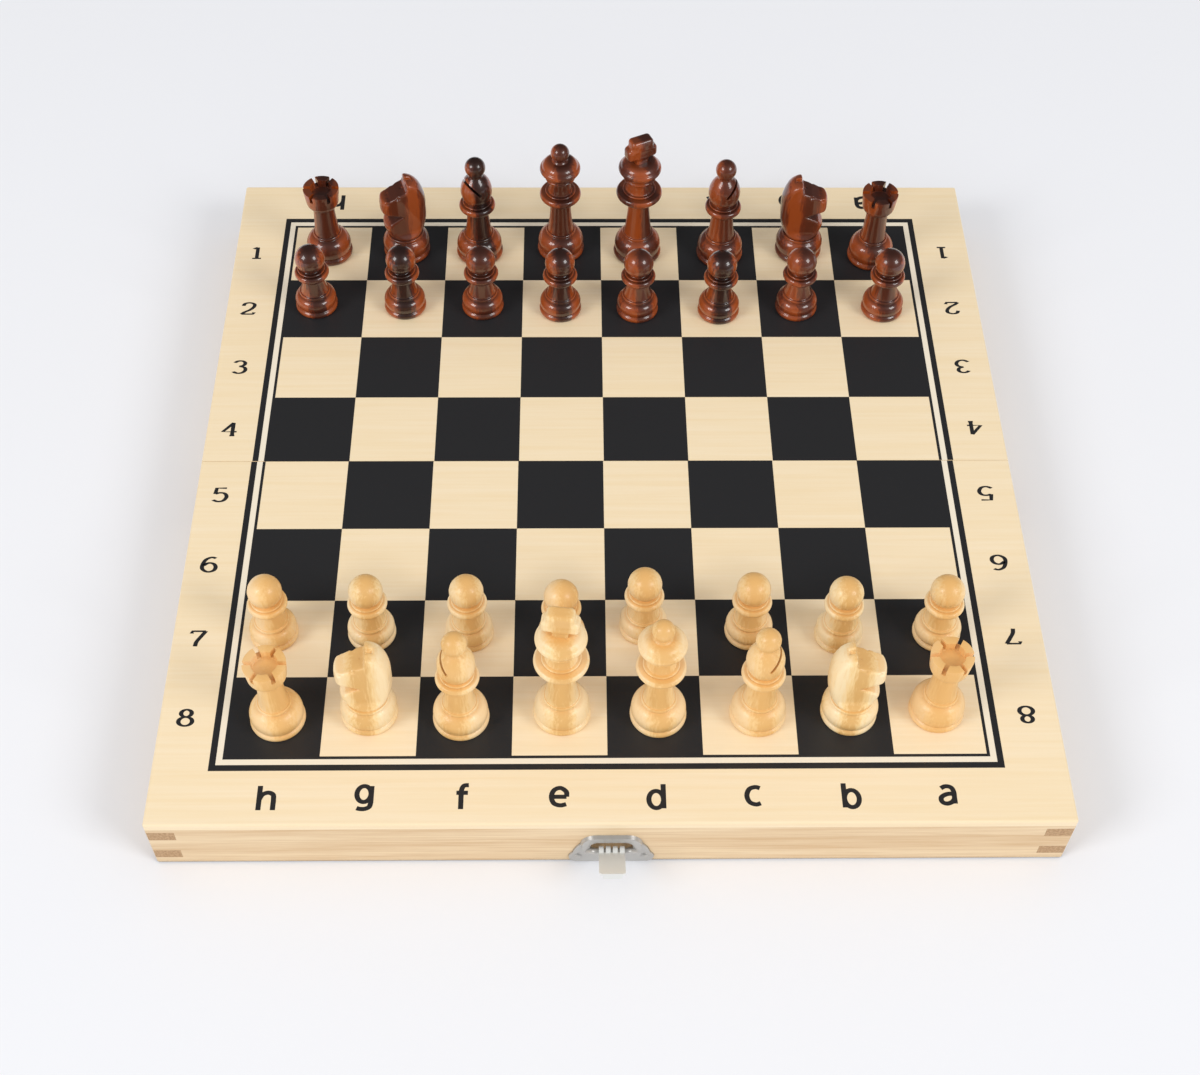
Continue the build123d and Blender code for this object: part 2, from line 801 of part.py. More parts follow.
for (colour, rank), row in ranks.items():
    for column, kind in enumerate(row):
        shift, push = off_middle[rank][column]
        spot = f"{files[column]}{rank}"
        x = (column + 0.5 - square_count / 2) * square + field_shift + shift
        y = (square_count / 2 + 0.5 - rank) * square + push
        with BuildPart() as man:
            with Locations(Location((x, y, half_height), (0, 0, turns.get(spot, 0)))):
                add(men[kind])
        save(man.part, f"{colour}_{kind}_{spot}")
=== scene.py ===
import math
import bmesh
import bpy
import numpy as np
from mathutils import Matrix, Vector


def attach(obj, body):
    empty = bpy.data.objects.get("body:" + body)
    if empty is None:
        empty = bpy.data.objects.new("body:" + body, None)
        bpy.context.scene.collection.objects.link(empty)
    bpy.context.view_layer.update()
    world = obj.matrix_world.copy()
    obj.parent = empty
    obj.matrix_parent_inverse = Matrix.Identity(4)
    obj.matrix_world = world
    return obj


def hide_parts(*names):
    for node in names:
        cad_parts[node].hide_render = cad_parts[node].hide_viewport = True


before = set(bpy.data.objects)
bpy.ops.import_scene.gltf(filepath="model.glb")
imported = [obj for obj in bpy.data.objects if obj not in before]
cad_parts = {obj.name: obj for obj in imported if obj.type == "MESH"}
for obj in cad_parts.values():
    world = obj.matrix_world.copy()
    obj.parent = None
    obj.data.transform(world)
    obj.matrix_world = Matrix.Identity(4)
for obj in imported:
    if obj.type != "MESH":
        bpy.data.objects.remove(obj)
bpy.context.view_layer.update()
mm = 0.001
tiny = 1e-6          # mm, less than any length here
weldReach = 0.0005   # mm, points nearer than this are one
print("frame loaded:", len(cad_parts), "nodes")


def linear(hexColour):
    # sRGB hex to the linear colour that the shaders want
    values = [int(hexColour[i : i + 2], 16) / 255 for i in (1, 3, 5)]
    return [v / 12.92 if v <= 0.04045 else ((v + 0.055) / 1.055) ** 2.4 for v in values] + [1.0]


def addNode(tree, kind, inputs=None, stops=None, **settings):
    # adds a node; an input is a value, or another node's socket to link from
    node = tree.nodes.new(kind)
    for name, value in settings.items():
        setattr(node, name, value)
    for socket, value in (inputs or {}).items():
        if isinstance(value, bpy.types.NodeSocket):
            tree.links.new(value, node.inputs[socket])
        else:
            node.inputs[socket].default_value = value
    for index, (place, colour) in enumerate(stops or []):
        ramp = node.color_ramp.elements
        stop = ramp[index] if index < 2 else ramp.new(place)
        stop.position = place
        stop.color = linear(colour)
    return node


def perMm(size):
    # a noise scale whose features are about this many millimetres across
    return 1 / (size * mm)


# where the photograph was taken from
camera = {
    "place": (-11.236, -396.238, 507.655),   # mm, from the middle of the board
    "down": 53.134,      # degrees
    "turn": 1.363,
    "roll": 0.951,
    "lens": 52.12,       # mm
    "sensor": 36,        # mm wide
    "nearest": 10,       # mm, nothing nearer is drawn
}


def makeCamera():
    down = math.radians(camera["down"])
    turn = math.radians(camera["turn"])
    roll = math.radians(camera["roll"])
    forward = Vector((math.sin(turn) * math.cos(down), math.cos(turn) * math.cos(down), -math.sin(down)))
    level = Vector((math.cos(turn), -math.sin(turn), 0))
    rise = level.cross(forward)
    right = math.cos(roll) * level + math.sin(roll) * rise
    up = math.cos(roll) * rise - math.sin(roll) * level
    data = bpy.data.cameras.new("camera")
    data.lens = camera["lens"]
    data.sensor_width = camera["sensor"]
    data.sensor_fit = "HORIZONTAL"
    data.clip_start = camera["nearest"] * mm
    seat = bpy.data.objects.new("camera", data)
    bpy.context.collection.objects.link(seat)
    rows = Matrix((right, up, -forward)).transposed().to_4x4()
    seat.matrix_world = Matrix.Translation(Vector(camera["place"]) * mm) @ rows
    bpy.context.scene.camera = seat
    return right, -forward


right, towards = makeCamera()
print("camera placed")

# two soft boxes beside the camera, and a pale room
studio = {
    "side": 0.67,       # how far each box stands to the side, as a share of its distance
    "distance": 2.4,    # m
    "size": 0.9,        # m
    "watts": 19.6,
    "room": 0.64,
    "mirrored": 0.07,   # how bright the room looks in polished surfaces
    "floor": "#EFF0F4",
    "floorHalf": 4.0,   # m
    "floorRoughness": 0.9,
    "floorShine": 0.1,
    "backdrop": "#F1F1F4",
}


def makeLight():
    ahead = math.sqrt(1 - studio["side"] ** 2)
    for name, side in (("leftBox", -1), ("rightBox", 1)):
        data = bpy.data.lights.new(name, "AREA")
        data.shape = "SQUARE"
        data.size = studio["size"]
        data.energy = studio["watts"]
        lamp = bpy.data.objects.new(name, data)
        bpy.context.collection.objects.link(lamp)
        direction = side * studio["side"] * right + ahead * towards
        lamp.location = direction * studio["distance"]
        lamp.rotation_euler = direction.to_track_quat("Z", "Y").to_euler()
    world = bpy.data.worlds.new("room")
    world.use_nodes = True
    bpy.context.scene.world = world
    tree = world.node_tree
    tree.nodes.clear()
    room = addNode(tree, "ShaderNodeBackground", {"Color": linear("#FFFFFF"), "Strength": studio["room"]})
    seen = addNode(tree, "ShaderNodeBackground", {"Color": linear(studio["backdrop"]), "Strength": 1.0})
    dim = addNode(tree, "ShaderNodeBackground", {"Color": linear("#FFFFFF"), "Strength": studio["mirrored"]})
    path = addNode(tree, "ShaderNodeLightPath")
    around = addNode(
        tree,
        "ShaderNodeMixShader",
        {0: path.outputs["Is Glossy Ray"], 1: room.outputs[0], 2: dim.outputs[0]},
    )
    mix = addNode(
        tree,
        "ShaderNodeMixShader",
        {0: path.outputs["Is Camera Ray"], 1: around.outputs[0], 2: seen.outputs[0]},
    )
    addNode(tree, "ShaderNodeOutputWorld", {"Surface": mix.outputs[0]})
    bpy.context.scene.view_settings.view_transform = "Standard"


def newMaterial(name):
    material = bpy.data.materials.new(name)
    material.use_nodes = True
    material.node_tree.nodes.clear()
    return material, material.node_tree


def makeFloor():
    material, tree = newMaterial("paperFloor")   # plain matt paper, gives an even pale ground
    skin = addNode(
        tree,
        "ShaderNodeBsdfPrincipled",
        {
            "Base Color": linear(studio["floor"]),
            "Roughness": studio["floorRoughness"],
            "Specular IOR Level": studio["floorShine"],
        },
    )
    addNode(tree, "ShaderNodeOutputMaterial", {"Surface": skin.outputs[0]})
    mesh = bpy.data.meshes.new("floor")
    half = studio["floorHalf"]
    corners = [(-half, -half, 0), (half, -half, 0), (half, half, 0), (-half, half, 0)]
    mesh.from_pydata(corners, [], [(0, 1, 2, 3)])
    floor = bpy.data.objects.new("floor", mesh)
    bpy.context.collection.objects.link(floor)
    mesh.materials.append(material)


makeLight()
makeFloor()
print("studio lit")


def endMaterial(tree, height, look, sockets):
    # the surface of a material, with its relief where the height varies
    relief = {"Height": height, "Distance": look["relief"] * mm, "Strength": look["reliefShare"]}
    bump = addNode(tree, "ShaderNodeBump", relief)
    skin = addNode(tree, "ShaderNodeBsdfPrincipled", {**sockets, "Normal": bump.outputs[0]})
    addNode(tree, "ShaderNodeOutputMaterial", {"Surface": skin.outputs[0]})


boardWood = {
    "early": "#EDD3AC",
    "late": "#D3AE80",
    "endLight": "#C9A57C",
    "endDark": "#A98256",
    # painted shade: the near-black that deep corners and contact lines are darkened towards
    "paintedShade": "#241A12",
    "streak": 1.1,       # mm across one streak of grain
    "band": 7.0,         # mm across the broad bands under the streaks
    "pore": 0.7,         # mm across a pore of the end grain
    "stretch": 0.035,    # along the grain
    "endFrom": 0.8,      # faces that point along the grain by more than this show their ends
    "cornerReach": 3.0,  # mm round a point that tell how deep in a corner it is
    "shut": 0.42,        # openness at which a corner is all painted shade
    "open": 0.7,         # and past which it has no painted shade
    "roughness": 0.5,
    "relief": 0.06,      # mm
    "reliefShare": 0.5,
}


def sawnWood(name, along):
    # sawn and lacquered paulownia: long pale streaks, darker open pores where its ends show,
    # and painted shade that darkens deep corners and contact lines
    material, tree = newMaterial(name)
    place = addNode(tree, "ShaderNodeTexCoord")
    squeeze = [boardWood["stretch"] if axis == along else 1.0 for axis in range(3)]
    grainPlace = addNode(tree, "ShaderNodeMapping", {"Vector": place.outputs["Object"], "Scale": squeeze})
    streaks = addNode(
        tree,
        "ShaderNodeTexNoise",
        {
            "Vector": grainPlace.outputs[0],
            "Scale": perMm(boardWood["streak"]),
            "Detail": 5.0,
            "Roughness": 0.62,
        },
    )
    bands = addNode(
        tree,
        "ShaderNodeTexNoise",
        {
            "Vector": grainPlace.outputs[0],
            "Scale": perMm(boardWood["band"]),
            "Detail": 2.0,
            "Distortion": 0.6,
        },
    )
    total = addNode(tree, "ShaderNodeMath", {0: streaks.outputs[0], 1: bands.outputs[0]}, operation="ADD")
    mean = addNode(tree, "ShaderNodeMath", {0: total.outputs[0], 1: 0.5}, operation="MULTIPLY")
    colour = addNode(
        tree,
        "ShaderNodeValToRGB",
        {"Fac": mean.outputs[0]},
        stops=[(0.36, boardWood["late"]), (0.62, boardWood["early"])],
    )
    pores = addNode(
        tree,
        "ShaderNodeTexNoise",
        {"Vector": place.outputs["Object"], "Scale": perMm(boardWood["pore"]), "Detail": 4.0},
    )
    endColour = addNode(
        tree,
        "ShaderNodeValToRGB",
        {"Fac": pores.outputs[0]},
        stops=[(0.35, boardWood["endDark"]), (0.68, boardWood["endLight"])],
    )
    facing = addNode(tree, "ShaderNodeSeparateXYZ", {0: place.outputs["Normal"]})
    facingEnd = addNode(tree, "ShaderNodeMath", {0: facing.outputs[along]}, operation="ABSOLUTE")
    isEnd = addNode(
        tree, "ShaderNodeMath", {0: facingEnd.outputs[0], 1: boardWood["endFrom"]}, operation="GREATER_THAN"
    )
    paint = addNode(
        tree,
        "ShaderNodeMix",
        {0: isEnd.outputs[0], 6: colour.outputs[0], 7: endColour.outputs[0]},
        data_type="RGBA",
    )
    # painted shade: ambient occlusion darkens corners, pockets and contact lines towards the painted shade
    # colour
    shelter = addNode(
        tree, "ShaderNodeAmbientOcclusion", {"Distance": boardWood["cornerReach"] * mm}, samples=8
    )
    openness = addNode(
        tree,
        "ShaderNodeMapRange",
        {"Value": shelter.outputs["AO"], "From Min": boardWood["shut"], "From Max": boardWood["open"]},
    )
    cornerShaded = addNode(
        tree,
        "ShaderNodeMix",
        {0: openness.outputs[0], 6: linear(boardWood["paintedShade"]), 7: paint.outputs[2]},
        data_type="RGBA",
    )
    sockets = {"Base Color": cornerShaded.outputs[2], "Roughness": boardWood["roughness"]}
    endMaterial(tree, streaks.outputs[0], boardWood, sockets)
    return material


panelSkin = {
    "pale": "#F8E4C2",
    "deep": "#F4DCB2",
    "streak": 1.6,       # mm
    "stretch": 0.03,
    "roughness": 0.42,
    "relief": 0.03,      # mm
    "reliefShare": 0.4,
}


def printedPanel():
    # fine veneer under satin lacquer: almost even cream, with faint long streaks
    material, tree = newMaterial("lacqueredVeneer")
    place = addNode(tree, "ShaderNodeTexCoord")
    grainPlace = addNode(
        tree, "ShaderNodeMapping", {"Vector": place.outputs["Object"], "Scale": (panelSkin["stretch"], 1, 1)}
    )
    streaks = addNode(
        tree,
        "ShaderNodeTexNoise",
        {
            "Vector": grainPlace.outputs[0],
            "Scale": perMm(panelSkin["streak"]),
            "Detail": 5.0,
            "Roughness": 0.6,
        },
    )
    colour = addNode(
        tree,
        "ShaderNodeValToRGB",
        {"Fac": streaks.outputs[0]},
        stops=[(0.25, panelSkin["deep"]), (0.7, panelSkin["pale"])],
    )
    sockets = {"Base Color": colour.outputs[0], "Roughness": panelSkin["roughness"]}
    endMaterial(tree, streaks.outputs[0], panelSkin, sockets)
    return material


inks = {
    "blackInk": ("#28282A", 0.42),   # its colour and roughness
    "whiteInk": ("#F4E8D2", 0.4),
}
inkGrain = {
    "streak": 0.9,       # mm
    "smoother": 0.06,    # how far the roughness goes down and up with the grain
    "rougher": 0.08,
    "relief": 0.03,      # mm
    "reliefShare": 0.35,
}


def ink(name, hexColour, roughness):
    # screen-printed ink: even and slightly glossy, with the wood's grain just showing through
    material, tree = newMaterial(name)
    place = addNode(tree, "ShaderNodeTexCoord")
    grainPlace = addNode(
        tree, "ShaderNodeMapping", {"Vector": place.outputs["Object"], "Scale": (panelSkin["stretch"], 1, 1)}
    )
    streaks = addNode(
        tree,
        "ShaderNodeTexNoise",
        {"Vector": grainPlace.outputs[0], "Scale": perMm(inkGrain["streak"]), "Detail": 3.0},
    )
    rough = addNode(
        tree,
        "ShaderNodeMapRange",
        {
            "Value": streaks.outputs[0],
            "To Min": roughness - inkGrain["smoother"],
            "To Max": roughness + inkGrain["rougher"],
        },
    )
    sockets = {"Base Color": linear(hexColour), "Roughness": rough.outputs[0]}
    endMaterial(tree, streaks.outputs[0], inkGrain, sockets)
    return material


turnedWoods = {
    "light": {
        "stops": [(0.32, "#E0B26E"), (0.5, "#F7D69A"), (0.7, "#FDE7BC")],
        "warm": "#F3BC74",
        "end": "#E9B268",
        "endShare": 0.55,
        "ring": 2.4,    # mm for one radian of the year rings, so they lie 15 mm apart before they bend
        "roughness": 0.42,
        "coat": 0.15,
    },
    "dark": {
        "stops": [(0.38, "#120402"), (0.5, "#521B07"), (0.64, "#A84C12")],
        "warm": "#8E3A0E",
        "end": "#1C0A06",
        "endShare": 0.6,
        "ring": 2.0,
        "roughness": 0.45,
        "coat": 1.0,
    },
}
turnedGrain = {
    "stretch": 0.12,       # along the grain
    "waveAngle": 20,       # radians that a wave texture goes through over one unit of its scale
    "bend": 5.0,
    "fibre": 0.8,          # mm
    "fibreShare": 0.55,
    "endFrom": 0.72,       # faces that point along the grain by more than this show their ends
    "coatRoughness": 0.06,
    "relief": 0.05,        # mm
    "reliefShare": 0.3,
}


def turnedWood(name, look):
    # turned wood, its year rings cut through lengthways and its end grain deeper in colour;
    # the dark men have thick glossy lacquer on a stain
    material, tree = newMaterial(name)
    place = addNode(tree, "ShaderNodeAttribute", attribute_name="fromFoot")
    tone = addNode(tree, "ShaderNodeAttribute", attribute_name="tone")
    rise = addNode(tree, "ShaderNodeCombineXYZ", {2: tone.outputs["Fac"]})
    shifted = addNode(
        tree, "ShaderNodeVectorMath", {0: place.outputs["Vector"], 1: rise.outputs[0]}, operation="ADD"
    )
    grainPlace = addNode(
        tree, "ShaderNodeMapping", {"Vector": shifted.outputs[0], "Scale": (1, 1, turnedGrain["stretch"])}
    )
    rings = addNode(
        tree,
        "ShaderNodeTexWave",
        {
            "Vector": grainPlace.outputs[0],
            "Scale": perMm(look["ring"]) / turnedGrain["waveAngle"],
            "Distortion": turnedGrain["bend"],
            "Detail": 2.0,
            "Detail Scale": 1.2,
        },
    )
    fibres = addNode(
        tree,
        "ShaderNodeTexNoise",
        {
            "Vector": grainPlace.outputs[0],
            "Scale": perMm(turnedGrain["fibre"]),
            "Detail": 4.0,
            "Roughness": 0.6,
        },
    )
    mixed = addNode(
        tree,
        "ShaderNodeMix",
        {0: turnedGrain["fibreShare"], 2: rings.outputs["Fac"], 3: fibres.outputs[0]},
        data_type="FLOAT",
    )
    colour = addNode(tree, "ShaderNodeValToRGB", {"Fac": mixed.outputs[0]}, stops=look["stops"])
    warm = addNode(
        tree,
        "ShaderNodeMix",
        {0: tone.outputs["Fac"], 6: colour.outputs[0], 7: linear(look["warm"])},
        data_type="RGBA",
    )
    around = addNode(tree, "ShaderNodeTexCoord")
    facing = addNode(tree, "ShaderNodeSeparateXYZ", {0: around.outputs["Normal"]})
    upright = addNode(tree, "ShaderNodeMath", {0: facing.outputs[2]}, operation="ABSOLUTE")
    endShare = addNode(
        tree,
        "ShaderNodeMapRange",
        {
            "Value": upright.outputs[0],
            "From Min": turnedGrain["endFrom"],
            "From Max": 1.0,
            "To Max": look["endShare"],
        },
    )
    deep = addNode(
        tree,
        "ShaderNodeMix",
        {0: endShare.outputs[0], 6: warm.outputs[2], 7: linear(look["end"])},
        data_type="RGBA",
    )
    sockets = {
        "Base Color": deep.outputs[2],
        "Roughness": look["roughness"],
        "Coat Weight": look["coat"],
        "Coat Roughness": turnedGrain["coatRoughness"],
    }
    endMaterial(tree, fibres.outputs[0], turnedGrain, sockets)
    return material


# less metallic than real plate, because the room that it mirrors is dim, so part of their pale grey is
# painted reflection; the hasp's paler copy paints in the bright reflection that it shows
metals = {
    "nickelPlate": {"colour": "#BDBBB7", "roughness": 0.3, "metallic": 0.45},
    "paintedLitNickel": {"colour": "#E8E9E6", "roughness": 0.3, "metallic": 0.2},
    "platedSteel": {"colour": "#B9B4A8", "roughness": 0.35, "metallic": 0.7},
}
pressMarks = {
    "size": 0.9,         # mm
    "smoother": 0.05,    # how far the roughness goes down and up with the marks
    "rougher": 0.1,
    "relief": 0.04,      # mm
    "reliefShare": 0.4,
}


def platedMetal(name, look):
    # satin nickel plate on pressed steel: pale grey, with broad soft reflections and fine press marks
    material, tree = newMaterial(name)
    place = addNode(tree, "ShaderNodeTexCoord")
    marks = addNode(
        tree,
        "ShaderNodeTexNoise",
        {"Vector": place.outputs["Object"], "Scale": perMm(pressMarks["size"]), "Detail": 3.0},
    )
    rough = addNode(
        tree,
        "ShaderNodeMapRange",
        {
            "Value": marks.outputs[0],
            "To Min": look["roughness"] - pressMarks["smoother"],
            "To Max": look["roughness"] + pressMarks["rougher"],
        },
    )
    sockets = {
        "Base Color": linear(look["colour"]),
        "Metallic": look["metallic"],
        "Roughness": rough.outputs[0],
    }
    endMaterial(tree, marks.outputs[0], pressMarks, sockets)
    return material


woodAcross = sawnWood("sawnWoodAcross", 0)
woodAlong = sawnWood("sawnWoodAlong", 1)
veneer = printedPanel()
blackInk, whiteInk = [ink(name, *look) for name, look in inks.items()]
nickel, paintedLitNickel, hingeSteel = [platedMetal(name, look) for name, look in metals.items()]
menWood = {colour: turnedWood(f"{colour}TurnedWood", look) for colour, look in turnedWoods.items()}
print("materials made")


def shadingTree():
    # welds the loose triangles, shades them smooth and keeps edges past the given angle crisp
    tree = bpy.data.node_groups.new("weldAndSmooth", "GeometryNodeTree")
    tree.interface.new_socket("Geometry", in_out="INPUT", socket_type="NodeSocketGeometry")
    angle = tree.interface.new_socket("Crisp Above", in_out="INPUT", socket_type="NodeSocketFloat")
    tree.interface.new_socket("Geometry", in_out="OUTPUT", socket_type="NodeSocketGeometry")
    start = addNode(tree, "NodeGroupInput")
    weld = addNode(
        tree, "GeometryNodeMergeByDistance", {"Geometry": start.outputs[0], "Distance": weldReach * mm}
    )
    smooth = addNode(tree, "GeometryNodeSetShadeSmooth", {"Geometry": weld.outputs[0], "Shade Smooth": True})
    edge = addNode(tree, "GeometryNodeInputMeshEdgeAngle")
    crisp = addNode(
        tree, "FunctionNodeCompare", {0: edge.outputs[0], 1: start.outputs[1]}, operation="GREATER_THAN"
    )
    split = addNode(
        tree,
        "GeometryNodeSetShadeSmooth",
        {"Geometry": smooth.outputs[0], "Selection": crisp.outputs[0], "Shade Smooth": False},
        domain="EDGE",
    )
    addNode(tree, "NodeGroupOutput", {0: split.outputs[0]})
    return tree, angle.identifier


weldAndSmooth, crispAbove = shadingTree()
crispAngle = 32   # degrees, edges of the CAD pieces past it stay crisp


def dress(node, material):
    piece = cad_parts[node]
    for slot in piece.material_slots:
        slot.material = material
    shading = piece.modifiers.new("weldAndSmooth", "NODES")
    shading.node_group = weldAndSmooth
    shading[crispAbove] = math.radians(crispAngle)


for half in ("front_half", "rear_half"):
    dress(f"{half}_panel", veneer)
    dress(f"{half}_outer_wall", woodAcross)
    dress(f"{half}_meeting_wall", woodAcross)
    dress(f"{half}_left_wall", woodAlong)
    dress(f"{half}_right_wall", woodAlong)
for node in ("clasp_plate", "clasp_nails", "catch_plate", "catch_nails"):
    dress(node, nickel)
# painted reflection: the hasp wears a paler, less metallic copy of the plate's nickel
dress("hasp", paintedLitNickel)
for half in ("front", "rear"):
    dress(f"{half}_hinge_leaves", hingeSteel)
    dress(f"{half}_hinge_screws", hingeSteel)
dress("hinge_pins", hingeSteel)
print("board and metal dressed")


def plainMesh(maker, name):
    # the evaluated mesh of a throwaway object, after its modifiers
    evaluated = maker.evaluated_get(bpy.context.evaluated_depsgraph_get())
    mesh = bpy.data.meshes.new_from_object(evaluated)
    mesh.name = name
    return mesh


def putOut(mesh, name, body):
    piece = bpy.data.objects.new(name, mesh)
    bpy.context.collection.objects.link(piece)
    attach(piece, body)
    return piece


def faceOutward(mesh):
    made = bmesh.new()
    made.from_mesh(mesh)
    bmesh.ops.remove_doubles(made, verts=made.verts, dist=weldReach * mm)
    bmesh.ops.recalc_face_normals(made, faces=made.faces)
    made.to_mesh(mesh)
    made.free()


# what is printed on the playing faces, in mm from the middle of the board
printing = {
    "square": 30.4,
    "shift": -0.9,           # towards file h
    "frontShift": -0.25,     # the front half's print sits a little further
    "seam": 0.15,
    "top": 25.0,
    "thickness": 0.03,
    "thinLine": (120.8, 121.8),
    "gap": (121.8, 123.8),
    "thickLine": (123.8, 125.9),
    "letterRow": 135.5,
    "digitColumn": 135.6,
    "blackRise": 1.2,        # how thick the lines and characters are, as a share of the squares' ink
    "whiteRise": 0.7,
    "strokeRise": 0.15,      # each further stroke of a character lies this much above the last
}
files = "hgfedcba"           # from left to right
rowsPerHalf = 4


def squaresTree():
    # one thin block on every second point of a grid
    tree = bpy.data.node_groups.new("printedSquares", "GeometryNodeTree")
    face = tree.interface
    names = {}
    for name, kind in (
        ("Geometry", "Geometry"), ("Square", "Float"), ("Thickness", "Float"), ("Columns", "Int"),
        ("Rows", "Int"), ("Odd", "Int"), ("Ink", "Material"),
    ):
        names[name] = face.new_socket(name, in_out="INPUT", socket_type=f"NodeSocket{kind}").identifier
    face.new_socket("Geometry", in_out="OUTPUT", socket_type="NodeSocketGeometry")
    start = addNode(tree, "NodeGroupInput")
    square, thickness, columns, rows, odd, inkSocket = start.outputs[1:7]
    lengths = []
    for points in (columns, rows):
        gaps = addNode(tree, "ShaderNodeMath", {0: points, 1: 1.0}, operation="SUBTRACT")
        length = addNode(tree, "ShaderNodeMath", {0: square, 1: gaps.outputs[0]}, operation="MULTIPLY")
        lengths.append(length.outputs[0])
    grid = addNode(
        tree,
        "GeometryNodeMeshGrid",
        {"Size X": lengths[0], "Size Y": lengths[1], "Vertices X": columns, "Vertices Y": rows},
    )
    index = addNode(tree, "GeometryNodeInputIndex")
    fromLeft = addNode(tree, "ShaderNodeMath", {0: index.outputs[0], 1: rows}, operation="DIVIDE")
    column = addNode(tree, "ShaderNodeMath", {0: fromLeft.outputs[0]}, operation="FLOOR")
    row = addNode(tree, "ShaderNodeMath", {0: index.outputs[0], 1: rows}, operation="MODULO")
    diagonal = addNode(tree, "ShaderNodeMath", {0: column.outputs[0], 1: row.outputs[0]}, operation="ADD")
    shifted = addNode(tree, "ShaderNodeMath", {0: diagonal.outputs[0], 1: odd}, operation="ADD")
    parity = addNode(tree, "ShaderNodeMath", {0: shifted.outputs[0], 1: 2.0}, operation="MODULO")
    size = addNode(tree, "ShaderNodeCombineXYZ", {0: square, 1: square, 2: thickness})
    block = addNode(tree, "GeometryNodeMeshCube", {"Size": size.outputs[0]})
    blocks = addNode(
        tree,
        "GeometryNodeInstanceOnPoints",
        {"Points": grid.outputs[0], "Selection": parity.outputs[0], "Instance": block.outputs[0]},
    )
    real = addNode(tree, "GeometryNodeRealizeInstances", {"Geometry": blocks.outputs[0]})
    inked = addNode(tree, "GeometryNodeSetMaterial", {"Geometry": real.outputs[0], "Material": inkSocket})
    addNode(tree, "NodeGroupOutput", {0: inked.outputs[0]})
    return tree, names


printedSquares, squareInputs = squaresTree()


def addBlock(made, low, high, index):
    # a closed block between two corners, given in mm
    corners = [
        made.verts.new((x * mm, y * mm, z * mm))
        for z in (low[2], high[2])
        for y in (low[1], high[1])
        for x in (low[0], high[0])
    ]
    for loop in ((0, 2, 3, 1), (4, 5, 7, 6), (0, 1, 5, 4), (1, 3, 7, 5), (3, 2, 6, 7), (2, 0, 4, 6)):
        made.faces.new([corners[i] for i in loop]).material_index = index


# each character as pen strokes in mm: a smooth line through its points, or a straight one marked "line"
digitStrokes = {
    "1": [
        ("line", (0.1, -3.1), (0.1, 3.0)),
        ("line", (-1.5, 2.2), (0.1, 3.0)),
        ("line", (-1.6, -3.1), (1.8, -3.1)),
    ],
    "2": [
        ("bend", (-2.1, 1.5), (-1.5, 2.7), (0.2, 3.1), (1.9, 2.5), (2.1, 1.2), (0.8, -0.5), (-1.4, -1.9),
         (-2.4, -2.9)),
        ("line", (-2.4, -2.9), (1.9, -2.9), (2.3, -2.0)),
    ],
    "3": [
        ("bend", (-2.0, 2.2), (-0.8, 3.0), (0.9, 3.0), (1.9, 2.1), (1.5, 0.9), (0.0, 0.35)),
        ("bend", (0.0, 0.35), (1.8, -0.2), (2.3, -1.5), (1.3, -2.8), (-0.6, -3.1), (-2.2, -2.3)),
    ],
    "4": [
        ("line", (1.1, 3.0), (-2.5, -1.3), (2.5, -1.3)),
        ("line", (1.0, 2.9), (1.0, -3.1)),
        ("line", (0.1, -3.1), (1.9, -3.1)),
    ],
    "5": [
        ("line", (2.1, 2.9), (-1.4, 2.9), (-1.7, 0.3)),
        ("bend", (-1.7, 0.3), (-0.2, 0.8), (1.6, 0.5), (2.4, -1.0), (1.4, -2.7), (-0.5, -3.1), (-2.2, -2.4)),
    ],
    "6": [
        ("bend", (2.0, 2.6), (0.5, 3.0), (-1.4, 2.0), (-2.3, -0.2), (-2.1, -2.0), (-0.3, -3.1), (1.7, -2.6),
         (2.3, -1.1), (1.4, 0.3), (-0.4, 0.6), (-2.0, -0.5)),
    ],
    "7": [
        ("line", (-2.3, 2.0), (-2.1, 2.9), (2.3, 2.9)),
        ("bend", (2.3, 2.9), (0.9, 0.7), (-0.3, -1.3), (-0.6, -3.1)),
    ],
    "8": [("ring", (0, 1.65), (1.7, 1.35)), ("ring", (0, -1.4), (2.2, 1.65))],
}
